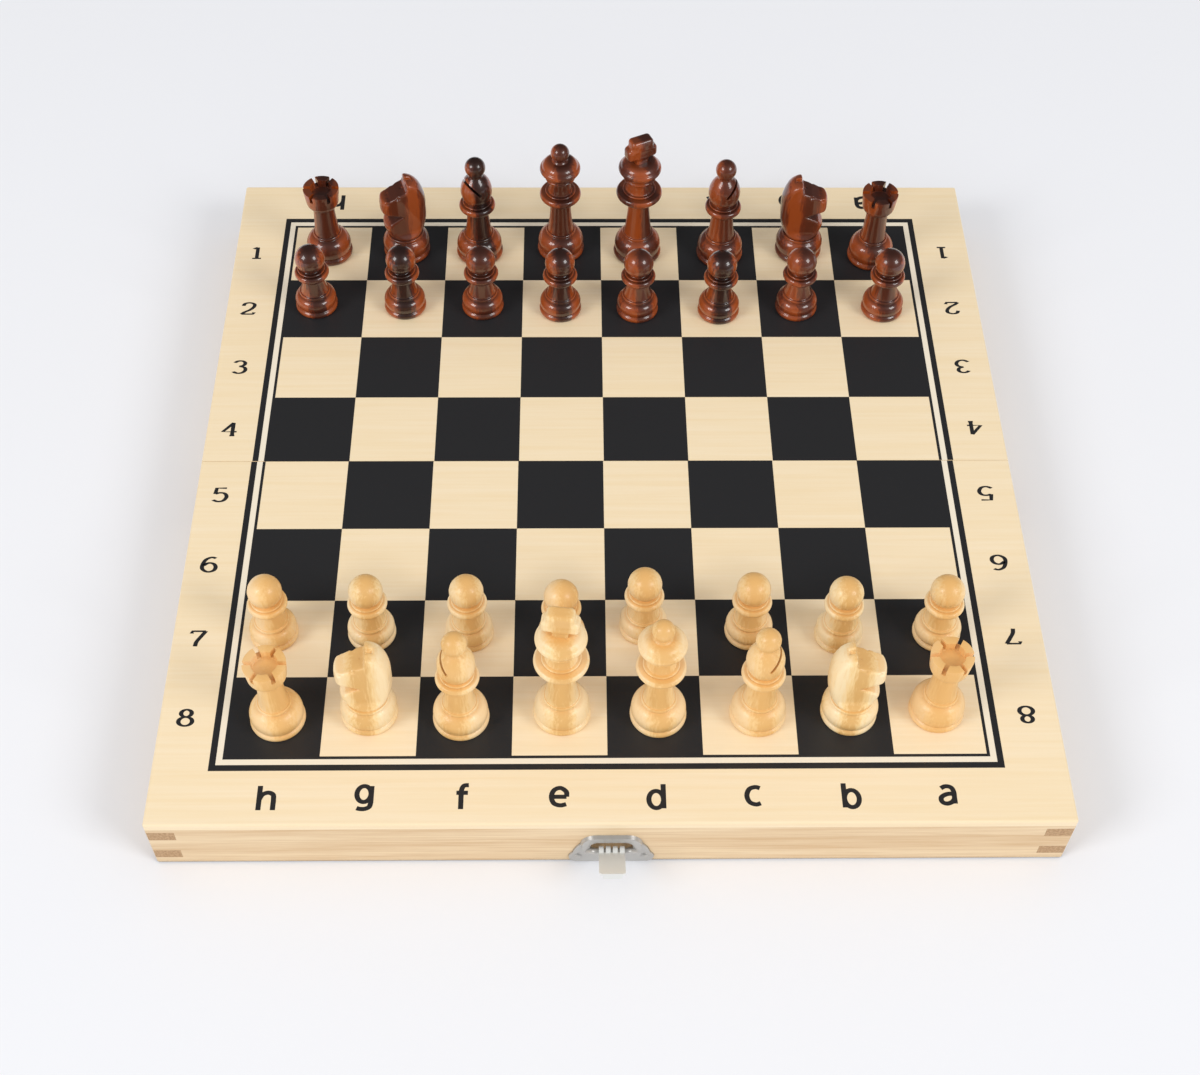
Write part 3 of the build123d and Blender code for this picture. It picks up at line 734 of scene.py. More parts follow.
letterStrokes = {
    "h": [
        ("line", (-2.3, 0.6), (-2.3, 9.1)),
        ("bend", (-2.3, 4.2), (-1.4, 6.0), (0.3, 6.7), (1.9, 6.0), (2.2, 4.2), (2.2, 2.4), (2.2, 0.6)),
    ],
    "g": [
        ("ring", (-0.2, 5.8), (2.2, 2.8)),
        ("line", (2.1, 8.6), (2.1, 2.6)),
        ("bend", (2.1, 2.8), (1.7, 1.3), (0.3, 0.6), (-1.2, 0.6), (-2.2, 0.9)),
    ],
    "f": [
        ("bend", (-0.3, 0.6), (-0.3, 3.0), (-0.3, 5.5), (-0.2, 7.4), (0.5, 8.8), (2.0, 9.0)),
        ("line", (-1.8, 6.3), (1.8, 6.3)),
    ],
    "e": [
        ("line", (-2.2, 3.6), (2.2, 3.6)),
        ("bend", (2.25, 3.6), (2.1, 5.4), (0.3, 6.7), (-1.7, 5.9), (-2.5, 3.7), (-1.8, 1.4), (0.2, 0.6),
         (2.1, 1.0)),
    ],
    "d": [("ring", (-0.2, 3.7), (2.3, 3.0)), ("line", (2.1, 0.6), (2.1, 9.1))],
    "c": [("bend", (2.0, 6.3), (0.6, 6.7), (-1.3, 6.0), (-2.2, 3.8), (-1.5, 1.5), (0.4, 0.6), (2.0, 1.0))],
    "b": [("ring", (0.2, 3.7), (2.3, 3.0)), ("line", (-2.1, 0.6), (-2.1, 9.1))],
    "a": [
        ("bend", (-1.9, 6.0), (-0.4, 6.7), (1.3, 6.3), (2.0, 4.8), (2.0, 2.6), (2.0, 0.6)),
        ("bend", (2.0, 4.1), (-0.3, 3.9), (-2.1, 2.8), (-2.0, 1.2), (-0.5, 0.6), (1.1, 1.2), (2.0, 2.3)),
    ],
}
pens = {"digit": (0.72, 0.33), "letter": (0.8, 0.72)}   # half the nib's width and height, in mm
strokeSteps = {"ring": 28, "bend": 6}   # round a ring, and between two points of a bend


def strokeLine(form, *points):
    # the pen's path
    if form == "ring":
        (x, y), (across, high) = points
        turns = [2 * math.pi * i / strokeSteps["ring"] for i in range(strokeSteps["ring"] + 1)]
        return [Vector((x + across * math.cos(a), y + high * math.sin(a))) for a in turns]
    points = [Vector(p) for p in points]
    if form == "line":
        return points
    ends = [2 * points[0] - points[1]] + points + [2 * points[-1] - points[-2]]
    line = [points[0]]
    for before, start, end, after in zip(ends, ends[1:], ends[2:], ends[3:]):
        for step in range(strokeSteps["bend"]):
            t = (step + 1) / strokeSteps["bend"]
            line.append(
                0.5 * (2 * start + (end - before) * t + (2 * before - 5 * start + 4 * end - after) * t**2
                       + (3 * start - before - 3 * end + after) * t**3)
            )
    return line


def addStroke(made, line, pen, place, thickness):
    # the ribbon that an oval pen leaves along the line, as a thin closed solid
    across, high = pen
    left = []
    right = []
    for i, point in enumerate(line):
        ahead = line[min(i + 1, len(line) - 1)] - line[max(i - 1, 0)]
        if line[0] == line[-1] and i in (0, len(line) - 1):
            ahead = line[1] - line[-2]
        side = Vector((-ahead.y, ahead.x)).normalized()
        offset = Vector((across**2 * side.x, high**2 * side.y)) / math.hypot(across * side.x, high * side.y)
        left.append(point + offset)
        right.append(point - offset)
    rows = []
    for height in (0, thickness):
        rows.append([
            [made.verts.new(place @ Vector((p.x, p.y, height))) for p in side] for side in (left, right)
        ])
    (lowLeft, lowRight), (topLeft, topRight) = rows
    for i in range(len(line) - 1):
        made.faces.new((topRight[i], topRight[i + 1], topLeft[i + 1], topLeft[i]))
        made.faces.new((lowLeft[i], lowLeft[i + 1], lowRight[i + 1], lowRight[i]))
        made.faces.new((topLeft[i], topLeft[i + 1], lowLeft[i + 1], lowLeft[i]))
        made.faces.new((lowRight[i], lowRight[i + 1], topRight[i + 1], topRight[i]))
    made.faces.new((lowRight[0], topRight[0], topLeft[0], lowLeft[0]))
    made.faces.new((lowLeft[-1], topLeft[-1], topRight[-1], lowRight[-1]))


def addCharacter(made, character, x, y, turned, thickness):
    # one printed character, centred by its own height
    isDigit = character in digitStrokes
    strokes = digitStrokes[character] if isDigit else letterStrokes[character]
    pen = pens["digit" if isDigit else "letter"]
    lines = [strokeLine(*stroke) for stroke in strokes]
    heights = [p.y for line in lines for p in line]
    centre = (max(heights) + min(heights)) / 2
    place = (
        Matrix.Translation(Vector((x, y, printing["top"])) * mm)
        @ Matrix.Rotation(math.pi if turned else 0, 4, "Z")
        @ Matrix.Scale(mm, 4)
        @ Matrix.Translation((0, -centre, 0))
    )
    for order, line in enumerate(lines):
        rise = printing["blackRise"] + printing["strokeRise"] * order
        addStroke(made, line, pen, place, thickness * rise)


def fileAt(letter):
    # how far right of the middle this file is, before the print's shift
    return (files.index(letter) - (len(files) - 1) / 2) * printing["square"]


def printHalf(half, sign):
    # sign is -1 on the front half and 1 on the rear half
    square = printing["square"]
    top = printing["top"]
    shift = printing["shift"] + (printing["frontShift"] if sign < 0 else 0)
    thickness = printing["thickness"]
    holder = bpy.data.objects.new("squares", bpy.data.meshes.new("squares"))
    bpy.context.collection.objects.link(holder)
    maker = holder.modifiers.new("squares", "NODES")
    maker.node_group = printedSquares
    maker[squareInputs["Square"]] = square * mm
    maker[squareInputs["Thickness"]] = thickness * mm
    maker[squareInputs["Columns"]] = len(files)
    maker[squareInputs["Rows"]] = rowsPerHalf
    maker[squareInputs["Odd"]] = 1
    maker[squareInputs["Ink"]] = blackInk
    mesh = plainMesh(holder, f"{half}Print")
    bpy.data.objects.remove(holder)
    mesh.materials.clear()
    mesh.materials.append(blackInk)
    mesh.materials.append(whiteInk)
    middle = (shift, sign * rowsPerHalf / 2 * square, top + thickness / 2)
    mesh.transform(Matrix.Translation(Vector(middle) * mm))
    made = bmesh.new()
    made.from_mesh(mesh)
    # the lines round the field, three sides of each on every half
    for (near, far), index, height in (
        (printing["thinLine"], 0, printing["blackRise"]),
        (printing["gap"], 1, printing["whiteRise"]),
        (printing["thickLine"], 0, printing["blackRise"]),
    ):
        high = top + thickness * height
        inner = sorted((sign * printing["seam"], sign * far))
        for side in (-1, 1):
            xs = sorted((shift + side * near, shift + side * far))
            addBlock(made, (xs[0], inner[0], top), (xs[1], inner[1], high), index)
        ys = sorted((sign * near, sign * far))
        addBlock(made, (shift - near, ys[0], top), (shift + near, ys[1], high), index)
    # letters along the outer edge and digits down both sides
    for letter in files:
        addCharacter(made, letter, fileAt(letter) + shift, sign * printing["letterRow"], sign > 0, thickness)
    for row in range(rowsPerHalf):
        rank = str(rowsPerHalf + 1 + row if sign < 0 else rowsPerHalf - row)
        y = sign * (row + 0.5) * square
        addCharacter(made, rank, printing["shift"] - printing["digitColumn"], y, False, thickness)
        addCharacter(made, rank, printing["shift"] + printing["digitColumn"], y, True, thickness)
    made.to_mesh(mesh)
    made.free()
    putOut(mesh, f"{half}Print", half)


printHalf("front_half", -1)
printHalf("rear_half", 1)
print("playing faces printed")


# sizes shared by all the turned men, in mm
turning = {
    "footRing": 2.1,
    "footRound": 0.5,
    "grooveDepth": 0.9,
    "grooveHeight": 0.25,
    "ringHeight": 1.3,
    "ringBulge": 0.35,
    "discHalf": 1.3,
    "discRound": 0.8,
    "lowerRing": 0.7,
    "step": 0.8,
    "crownDepth": 4.4,
    "stemTop": 4.0,
    "neckHollow": 0.4,
    "softening": 0.3,     # how far the corners are rounded by sanding and lacquer
    "cornerAngle": 22,    # degrees, gentler corners are left alone
    "cornerShare": 0.45,  # of a short line that its rounding takes up at most
    "arcSteps": 10,
    "segments": 96,
    "poleReach": 0.001,   # points nearer than this are welded, which closes the seam and the poles
}

# in mm: base, top and names with At or Foot are heights above the square, ring is a radius, dome a bulge,
# crisp and slitTilt are degrees, and the sizes across a man are diameters
men = {
    "king": {
        "foot": 18.6, "base": 11.3, "ring": 5.7, "dome": 1.7, "stem": 8.8,
        "collar": 17.5, "collarAt": 31.0, "neck": 10.2, "crown": 16.2, "crownAt": 43.0, "top": 57.0,
        "crossFoot": 46.6, "crossWaist": 5.0, "crisp": 65,
    },
    "queen": {
        "foot": 18.3, "base": 11.0, "ring": 5.4, "dome": 1.8, "stem": 8.4,
        "collar": 15.8, "collarAt": 28.6, "neck": 9.2, "crown": 15.4, "crownAt": 41.2, "top": 52.0,
        "ball": 7.1, "ballNeck": 4.7, "crisp": 38,
    },
    "bishop": {
        "foot": 18.2, "base": 10.6, "ring": 5.6, "dome": 1.7, "stem": 9.0,
        "collar": 13.9, "collarAt": 24.6, "neck": 8.6, "mitre": 12.0, "top": 46.9,
        "ball": 7.9, "ballNeck": 5.3, "crisp": 38,
        "slitAt": 39.2, "slitTilt": 50, "slitWidth": 1.0, "slitReach": 7.8,
    },
    "rook": {
        "foot": 17.8, "base": 11.2, "ring": 5.2, "dome": 1.8, "stem": 8.5,
        "neck": 8.2, "headFoot": 24.6, "bowl": 12.6, "bowlAt": 27.4, "head": 13.7, "top": 33.0,
        "cup": 8.2, "cupDepth": 3.2, "notch": 1.4, "notchDepth": 2.9, "notchTurns": (0, 60, 120), "crisp": 38,
    },
    "pawn": {
        "foot": 16.0, "base": 8.8, "ring": 5.5, "dome": 1.4, "stem": 8.8,
        "collar": 13.0, "collarAt": 17.8, "neck": 8.0, "top": 29.9, "ball": 11.2, "ballNeck": 7.3,
        "crisp": 38,
    },
    "knight": {"foot": 18.2, "base": 10.6, "ring": 6.8, "dome": 1.5, "crisp": 65},
}


def footLines(man):
    edge = man["foot"] / 2 - turning["footRound"]
    groove = man["foot"] / 2 - turning["grooveDepth"]
    return [
        (edge, 0, 0),
        (edge, turning["footRing"], turning["footRound"]),
        (groove, turning["footRing"] + turning["grooveHeight"], 0),
        (man["ring"], man["base"] - turning["ringHeight"], man["dome"]),
        (man["ring"], man["base"], turning["ringBulge"]),
    ]


def stemLines(man, upTo, end=turning["stemTop"]):
    start = man["ring"] - turning["ringBulge"]
    return [(start, man["base"], 0), (end, upTo, man["stem"] / 2 - (start + end) / 2)]


def collarLines(across, height, neck):
    edge = across / 2 - turning["discRound"]
    low = edge - turning["lowerRing"]
    under = height - turning["discHalf"]
    over = height + turning["discHalf"]
    step = turning["step"]
    return [
        (low, under - step, -turning["ringBulge"]),
        (low, under, turning["ringBulge"]),
        (edge, under, 0),
        (edge, over, turning["discRound"]),
        (neck + step, over, 0),
        (neck + step, over + step, turning["ringBulge"]),
    ]


def crownLines(across, height, neck):
    edge = across / 2 - turning["discRound"]
    foot = height - turning["crownDepth"]
    step = turning["step"]
    return [
        (neck + step, foot, 0),
        (neck + step, foot + step, turning["ringBulge"]),
        (edge, height - turning["discHalf"], -turning["ringBulge"]),
        (edge, height + turning["discHalf"], turning["discRound"]),
    ]


def ballLines(across, top, neck):
    radius = across / 2
    foot = top - radius - math.sqrt(radius**2 - neck**2)
    chord = math.hypot(neck, top - foot)
    return [(neck, foot, 0), (0, top, radius - math.sqrt(radius**2 - chord**2 / 4))]


def outlineOf(kind):
    # (radius, height, bulge) of each point where the tool turned to a new line
    man = men[kind]
    step = turning["step"]
    lines = footLines(man)
    if kind == "knight":
        return lines + [(0, man["base"], 0)]
    neck = man["neck"] / 2
    if kind == "rook":
        lines += stemLines(man, man["headFoot"], neck)
        return lines + [
            (neck + step, man["headFoot"], 0),
            (man["bowl"] / 2, man["bowlAt"], turning["ringBulge"]),
            (man["head"] / 2, man["top"], 0),
            (man["cup"] / 2, man["top"], 0),
            (man["cup"] / 2, man["top"] - man["cupDepth"], 0),
            (0, man["top"] - man["cupDepth"], 0),
        ]
    over = turning["discHalf"] + step
    under = turning["discHalf"] + 2 * step
    lines += stemLines(man, man["collarAt"] - under)
    lines += collarLines(man["collar"], man["collarAt"], neck)
    lines.append((neck, man["collarAt"] + over, 0))
    if kind in ("king", "queen"):
        lines.append((neck, man["crownAt"] - turning["crownDepth"], -turning["neckHollow"]))
        lines += crownLines(man["crown"], man["crownAt"], neck)
    if kind == "king":
        return lines + [(man["crossWaist"] / 2 + step, man["crossFoot"], step), (0, man["crossFoot"], 0)]
    ballNeck = man["ballNeck"] / 2
    ballFoot = man["top"] - man["ball"]
    if kind == "bishop":
        lines.append((ballNeck, ballFoot, man["mitre"] / 2 - (neck + ballNeck) / 2))
    if kind == "queen":
        lines.append((ballNeck + step, ballFoot, step))
    return lines + ballLines(man["ball"], man["top"], ballNeck)


def bow(start, end, bulge, steps=turning["arcSteps"]):
    # points along an arc from start to end that bows outwards by bulge
    start = Vector(start)
    end = Vector(end)
    chord = (end - start).length
    if not bulge or chord < tiny:
        return [end]
    radius = (chord**2 / 4 + bulge**2) / (2 * abs(bulge))
    middle = (start + end) / 2
    outward = Vector(((end - start).y, -(end - start).x)) / chord * math.copysign(1, bulge)
    centre = middle - outward * (radius - abs(bulge))
    first = math.atan2(start.y - centre.y, start.x - centre.x)
    sweep = math.atan2(end.y - centre.y, end.x - centre.x) - first
    sweep = (sweep + math.pi) % (2 * math.pi) - math.pi
    return [
        centre + radius * Vector((math.cos(first + sweep * i / steps), math.sin(first + sweep * i / steps)))
        for i in range(1, steps + 1)
    ]


def softened(points, reach):
    # the same outline with its sharp corners rounded
    rounded = [points[0]]
    for before, here, after in zip(points, points[1:], points[2:]):
        into = here - before
        out = after - here
        if into.length < tiny or out.length < tiny:
            continue
        if into.angle(out) < math.radians(turning["cornerAngle"]):
            rounded.append(here)
            continue
        back = min(reach, into.length * turning["cornerShare"])
        on = min(reach, out.length * turning["cornerShare"])
        first = here - into.normalized() * back
        last = here + out.normalized() * on
        rounded += [first, first.lerp(here, 0.5).lerp(here.lerp(last, 0.5), 0.5), last]
    return rounded + [points[-1]]


def profileMesh(kind):
    points = [Vector((0, 0))]
    here = (0, 0)
    for radius, height, bulge in outlineOf(kind):
        points += bow(here, (radius, height), bulge)
        here = (radius, height)
    points = softened(points, turning["softening"])
    mesh = bpy.data.meshes.new(f"{kind}Profile")
    edges = [(i, i + 1) for i in range(len(points) - 1)]
    mesh.from_pydata([(p.x * mm, 0, p.y * mm) for p in points], edges, [])
    return mesh


def latheTree():
    # carries each point of a profile round the axis, like a lathe
    tree = bpy.data.node_groups.new("lathe", "GeometryNodeTree")
    face = tree.interface
    names = {}
    for name, kind in (("Profile", "Geometry"), ("Segments", "Int"), ("Wood", "Material")):
        names[name] = face.new_socket(name, in_out="INPUT", socket_type=f"NodeSocket{kind}").identifier
    face.new_socket("Geometry", in_out="OUTPUT", socket_type="NodeSocketGeometry")
    start = addNode(tree, "NodeGroupInput")
    profile, segments, wood = start.outputs[0:3]
    count = addNode(tree, "GeometryNodeAttributeDomainSize", {"Geometry": profile}).outputs["Point Count"]
    across = addNode(tree, "ShaderNodeMath", {0: segments, 1: 1.0}, operation="ADD")
    sheet = addNode(
        tree,
        "GeometryNodeMeshGrid",
        {"Size X": 1.0, "Size Y": 1.0, "Vertices X": across.outputs[0], "Vertices Y": count},
    )
    index = addNode(tree, "GeometryNodeInputIndex")
    strips = addNode(tree, "ShaderNodeMath", {0: index.outputs[0], 1: count}, operation="DIVIDE")
    strip = addNode(tree, "ShaderNodeMath", {0: strips.outputs[0]}, operation="FLOOR")
    along = addNode(tree, "ShaderNodeMath", {0: index.outputs[0], 1: count}, operation="MODULO")
    turn = addNode(tree, "ShaderNodeMath", {0: strip.outputs[0], 1: segments}, operation="DIVIDE")
    angle = addNode(tree, "ShaderNodeMath", {0: turn.outputs[0], 1: 2 * math.pi}, operation="MULTIPLY")
    position = addNode(tree, "GeometryNodeInputPosition")
    point = addNode(
        tree,
        "GeometryNodeSampleIndex",
        {"Geometry": profile, "Value": position.outputs[0], "Index": along.outputs[0]},
        data_type="FLOAT_VECTOR",
    )
    parts = addNode(tree, "ShaderNodeSeparateXYZ", {0: point.outputs[0]}).outputs
    sides = []
    for operation in ("COSINE", "SINE"):
        share = addNode(tree, "ShaderNodeMath", {0: angle.outputs[0]}, operation=operation)
        side = addNode(tree, "ShaderNodeMath", {0: parts[0], 1: share.outputs[0]}, operation="MULTIPLY")
        sides.append(side.outputs[0])
    place = addNode(tree, "ShaderNodeCombineXYZ", {0: sides[0], 1: sides[1], 2: parts[2]})
    turned = addNode(
        tree, "GeometryNodeSetPosition", {"Geometry": sheet.outputs[0], "Position": place.outputs[0]}
    )
    welded = addNode(
        tree,
        "GeometryNodeMergeByDistance",
        {"Geometry": turned.outputs[0], "Distance": turning["poleReach"] * mm},
    )
    smooth = addNode(
        tree, "GeometryNodeSetShadeSmooth", {"Geometry": welded.outputs[0], "Shade Smooth": True}
    )
    real = addNode(tree, "GeometryNodeRealizeInstances", {"Geometry": smooth.outputs[0]})
    finished = addNode(tree, "GeometryNodeSetMaterial", {"Geometry": real.outputs[0], "Material": wood})
    addNode(tree, "NodeGroupOutput", {0: finished.outputs[0]})
    return tree, names


lathe, latheInputs = latheTree()


def turnedMesh(kind):
    holder = bpy.data.objects.new(kind, profileMesh(kind))
    bpy.context.collection.objects.link(holder)
    maker = holder.modifiers.new("lathe", "NODES")
    maker.node_group = lathe
    maker[latheInputs["Segments"]] = turning["segments"]
    maker[latheInputs["Wood"]] = menWood["light"]
    mesh = plainMesh(holder, kind)
    bpy.data.objects.remove(holder)
    faceOutward(mesh)
    return mesh


def combine(mesh, other, operation):
    # cuts the other mesh away from this one, or joins the two into one skin
    first = bpy.data.objects.new("first", mesh)
    second = bpy.data.objects.new("second", other)
    bpy.context.collection.objects.link(first)
    bpy.context.collection.objects.link(second)
    change = first.modifiers.new("change", "BOOLEAN")
    change.operation = operation
    change.object = second
    change.solver = "EXACT"
    result = plainMesh(first, mesh.name)
    bpy.data.objects.remove(first)
    bpy.data.objects.remove(second)
    return result


def blockMesh(low, high, place):
    made = bmesh.new()
    addBlock(made, low, high, 0)
    mesh = bpy.data.meshes.new("block")
    made.to_mesh(mesh)
    made.free()
    mesh.transform(place)
    return mesh


def crispEdges(mesh, angle):
    # smooth faces, with the edges past this angle kept crisp
    made = bmesh.new()
    made.from_mesh(mesh)
    for face in made.faces:
        face.smooth = True
    for edge in made.edges:
        edge.smooth = not (edge.is_manifold and edge.calc_face_angle(0) > math.radians(angle))
    made.to_mesh(mesh)
    made.free()


def skinOf(field, low, cell):
    # a closed mesh where the sampled field changes sign, one point in each cell that it crosses
    solid = field < 0
    shape = np.array(field.shape) - 1
    total = np.zeros((*shape, 3))
    count = np.zeros(shape)
    crossings = []
    for axis in range(3):
        first = [slice(None)] * 3
        second = [slice(None)] * 3
        first[axis] = slice(0, -1)
        second[axis] = slice(1, None)
        a = field[tuple(first)]
        b = field[tuple(second)]
        cut = np.argwhere(solid[tuple(first)] != solid[tuple(second)])
        values = tuple(cut.T)
        share = a[values] / (a[values] - b[values])
        spot = cut.astype(float)
        spot[:, axis] += share
        others = [i for i in range(3) if i != axis]
        around = []
        for u, v in ((0, 0), (-1, 0), (-1, -1), (0, -1)):
            cells = cut.copy()
            cells[:, others[0]] += u
            cells[:, others[1]] += v
            np.add.at(total, tuple(cells.T), spot)
            np.add.at(count, tuple(cells.T), 1)
            around.append(cells)
        crossings.append((around, solid[tuple(first)][values], axis))
    used = count > 0
    numbers = np.full(shape, -1)
    numbers[used] = np.arange(used.sum())
    points = (total[used] / count[used][:, None]) * cell + np.array(low)
    faces = []
    for around, leaving, axis in crossings:
        quads = np.stack([numbers[tuple(cells.T)] for cells in around], axis=1)
        flip = leaving if axis == 1 else ~leaving
        quads[flip] = quads[flip][:, ::-1]
        faces += quads.tolist()
    mesh = bpy.data.meshes.new("carved")
    mesh.from_pydata((points * mm).tolist(), [], faces)
    return mesh


def sand(mesh, times):
    # takes the steps of the grid out of a carved skin
    made = bmesh.new()
    made.from_mesh(mesh)
    for _ in range(times):
        bmesh.ops.smooth_vert(
            made, verts=made.verts, factor=0.5, use_axis_x=True, use_axis_y=True, use_axis_z=True
        )
    made.to_mesh(mesh)
    made.free()


def gridOf(low, high, cell):
    axes = [np.arange(a, b + cell, cell) for a, b in zip(low, high)]
    return np.meshgrid(*axes, indexing="ij")


def lineDistance(points, x, z):
    nearest = np.full(x.shape, 1e9)
    for (ax, az), (bx, bz) in zip(points, points[1:]):
        dx, dz = bx - ax, bz - az
        along = np.clip(((x - ax) * dx + (z - az) * dz) / (dx**2 + dz**2), 0, 1)
        nearest = np.minimum(nearest, np.hypot(x - ax - along * dx, z - az - along * dz))
    return nearest


def outlineDistance(points, x, z):
    # distance to a closed outline, negative inside it
    loop = points + [points[0]]
    inside = np.zeros(x.shape, bool)
    for (ax, az), (bx, bz) in zip(loop, loop[1:]):
        if az != bz:
            inside ^= ((az > z) != (bz > z)) & (x < (bx - ax) * (z - az) / (bz - az) + ax)
    return np.where(inside, -1, 1) * lineDistance(loop, x, z)


def melt(a, b, reach):
    # the union of two fields, with the corner between them filled
    share = np.clip(0.5 + 0.5 * (b - a) / reach, 0, 1)
    return b * (1 - share) + a * share - reach * share * (1 - share)


def roundedBlock(x, y, z, middle, half, corner):
    parts = [np.abs(v - m) - h + corner for v, m, h in zip((x, y, z), middle, half)]
    outside = np.sqrt(sum(np.maximum(p, 0) ** 2 for p in parts))
    return outside + np.minimum(np.maximum(np.maximum(*parts[:2]), parts[2]), 0) - corner


cross = {
    "width": 11.9, "armAt": 51.2, "armThick": 4.9, "topWidth": 8.8, "topThick": 4.9, "thick": 5.2,
    "corner": 1.4,
    "waistCorner": 0.8, "waistShare": 0.9,    # the waist's thickness as a share of the arms'
    "waistFrom": 0.5, "melt": 1.0,            # how far the inner corners are filled
    "gridX": 8, "gridY": 4, "gridUnder": 2, "gridOver": 1, "cell": 0.25, "smoothing": 2,
}


def kingMesh():
    # turned body with a sawn cross: a thick waist, two stubby arms and a wide top
    man = men["king"]
    half = cross["thick"] / 2
    low = (-cross["gridX"], -cross["gridY"], man["crossFoot"] - cross["gridUnder"])
    high = (cross["gridX"], cross["gridY"], man["top"] + cross["gridOver"])
    x, y, z = gridOf(low, high, cross["cell"])
    topAt = man["top"] - cross["topThick"] / 2
    waistHalf = (topAt - low[2]) / 2
    waistSize = (man["crossWaist"] / 2, half * cross["waistShare"], waistHalf)
    waistAt = (0, 0, low[2] + waistHalf + cross["waistFrom"])
    waist = roundedBlock(x, y, z, waistAt, waistSize, cross["waistCorner"])
    armSize = (cross["width"] / 2, half, cross["armThick"] / 2)
    arms = roundedBlock(x, y, z, (0, 0, cross["armAt"]), armSize, cross["corner"])
    topSize = (cross["topWidth"] / 2, half, cross["topThick"] / 2)
    top = roundedBlock(x, y, z, (0, 0, topAt), topSize, cross["corner"])
    field = melt(melt(arms, top, cross["melt"]), waist, cross["melt"])
    sawn = skinOf(field, low, cross["cell"])
    sand(sawn, cross["smoothing"])
    return combine(turnedMesh("king"), sawn, "UNION")


def bishopMesh():
    # turned, with one saw cut that slopes down into the mitre
    man = men["bishop"]
    cut = (
        Matrix.Translation(Vector((man["mitre"] / 2, 0, man["slitAt"])) * mm)
        @ Matrix.Rotation(math.radians(-man["slitTilt"]), 4, "Y")
    )
    reach = man["slitReach"]
    wide = man["mitre"] / 2
    slab = blockMesh((-reach, -wide, -man["slitWidth"] / 2), (reach, wide, man["slitWidth"] / 2), cut)
    return combine(turnedMesh("bishop"), slab, "DIFFERENCE")


def rookMesh():
    man = men["rook"]
    mesh = turnedMesh("rook")
    reach = man["head"]
    for turn in man["notchTurns"]:
        slab = blockMesh(
            (-reach, -man["notch"] / 2, man["top"] - man["notchDepth"]),
            (reach, man["notch"] / 2, man["top"] + 1),
            Matrix.Rotation(math.radians(turn), 4, "Z"),
        )
        mesh = combine(mesh, slab, "DIFFERENCE")
    return mesh


# the knight's turned blank as (radius, height, bulge), and the two cuts of its face as (ahead, height)
knightBlank = [(6.2, 9.0, 0), (6.45, 10.6, 0), (8.8, 23.6, 0.8), (7.6, 31.8, 0.5), (0, 36.4, 1.7)]
knightBrow = [
    (-1.5, 40), (-1.5, 34.0), (-0.9, 32.6), (2.4, 31.3), (5.6, 29.7), (7.2, 29.5), (10, 28.8), (10, 40),
]
knightThroat = [
    (10, 23.6), (8.6, 23.2), (4.3, 22.0), (1.2, 20.8), (3.2, 19.9), (6.0, 18.5), (8.2, 16.2), (10, 13.4),
]
knightCut = {
    "half": 4.5, "flare": 3.5, "flareFoot": 10.6, "steepest": 0.6,
    "noseHalf": 3.65, "noseFrom": 3, "noseOver": 6.4, "noseFoot": 20.5, "noseBlend": 1.5,
    "eye": (2.4, 30.8, 0.95), "nostril": (6.8, 28.7, 0.8), "holeOut": 0.15,
    "earGap": 0.75, "earGapFoot": 34.8, "earGapBack": -3.9, "edge": 0.9,
    "gridSide": 9.6, "gridFoot": 8.4, "gridTop": 39, "cell": 0.22, "smoothing": 4, "arcSteps": 8,
}


def knightMesh():
    # a turned blank sawn flat on both sides, its sides running out in a curve at the foot,
    # and its face cut in front
    side = knightCut["gridSide"]
    low = (-side, -side, knightCut["gridFoot"])
    x, y, z = gridOf(low, (side, side, knightCut["gridTop"]), knightCut["cell"])
    edge = knightCut["edge"]

    def both(a, b):
        return -melt(-a, -b, edge)

    blank = [Vector((0, knightBlank[0][1])), Vector(knightBlank[0][:2])]
    for (r0, z0, _), (r1, z1, bulge) in zip(knightBlank, knightBlank[1:]):
        blank += bow((r0, z0), (r1, z1), bulge, knightCut["arcSteps"])
    field = outlineDistance([(p.x, p.y) for p in blank], np.hypot(x, y), z)
    y = np.abs(y)
    flare = knightCut["flare"]
    drop = np.clip(knightCut["flareFoot"] + flare - z, 0, flare)
    run = np.sqrt(flare**2 - drop**2)
    half = knightCut["half"] + flare - run
    ahead = np.clip((x - knightCut["noseFrom"]) / knightCut["noseOver"], 0, 1)
    towardsNose = ahead * np.clip((z - knightCut["noseFoot"]) / knightCut["noseBlend"], 0, 1)
    half = half - (knightCut["half"] - knightCut["noseHalf"]) * towardsNose
    slope = drop / np.maximum(run, knightCut["steepest"])
    field = both(field, (y - half) / np.hypot(1, slope))
    flatX, flatZ = x[:, 0, :], z[:, 0, :]
    for outline in (knightBrow, knightThroat):
        field = both(field, -outlineDistance(outline, flatX, flatZ)[:, None, :])
    for holeX, holeZ, size in (knightCut["eye"], knightCut["nostril"]):
        depth = y - half - knightCut["holeOut"]
        hole = np.sqrt((x - holeX) ** 2 + (z - holeZ) ** 2 + depth**2) - size
        field = np.maximum(field, -hole)
    gap = np.maximum(y - knightCut["earGap"], knightCut["earGapFoot"] - z)
    field = both(field, -np.maximum(gap, knightCut["earGapBack"] - x))
    head = skinOf(field, low, knightCut["cell"])
    sand(head, knightCut["smoothing"])
    return combine(turnedMesh("knight"), head, "UNION")


meshes = {
    "king": kingMesh(),
    "queen": turnedMesh("queen"),
    "bishop": bishopMesh(),
    "knight": knightMesh(),
    "rook": rookMesh(),
    "pawn": turnedMesh("pawn"),
}
for kind, mesh in meshes.items():
    crispEdges(mesh, men[kind]["crisp"])
print("six kinds of chessmen turned")

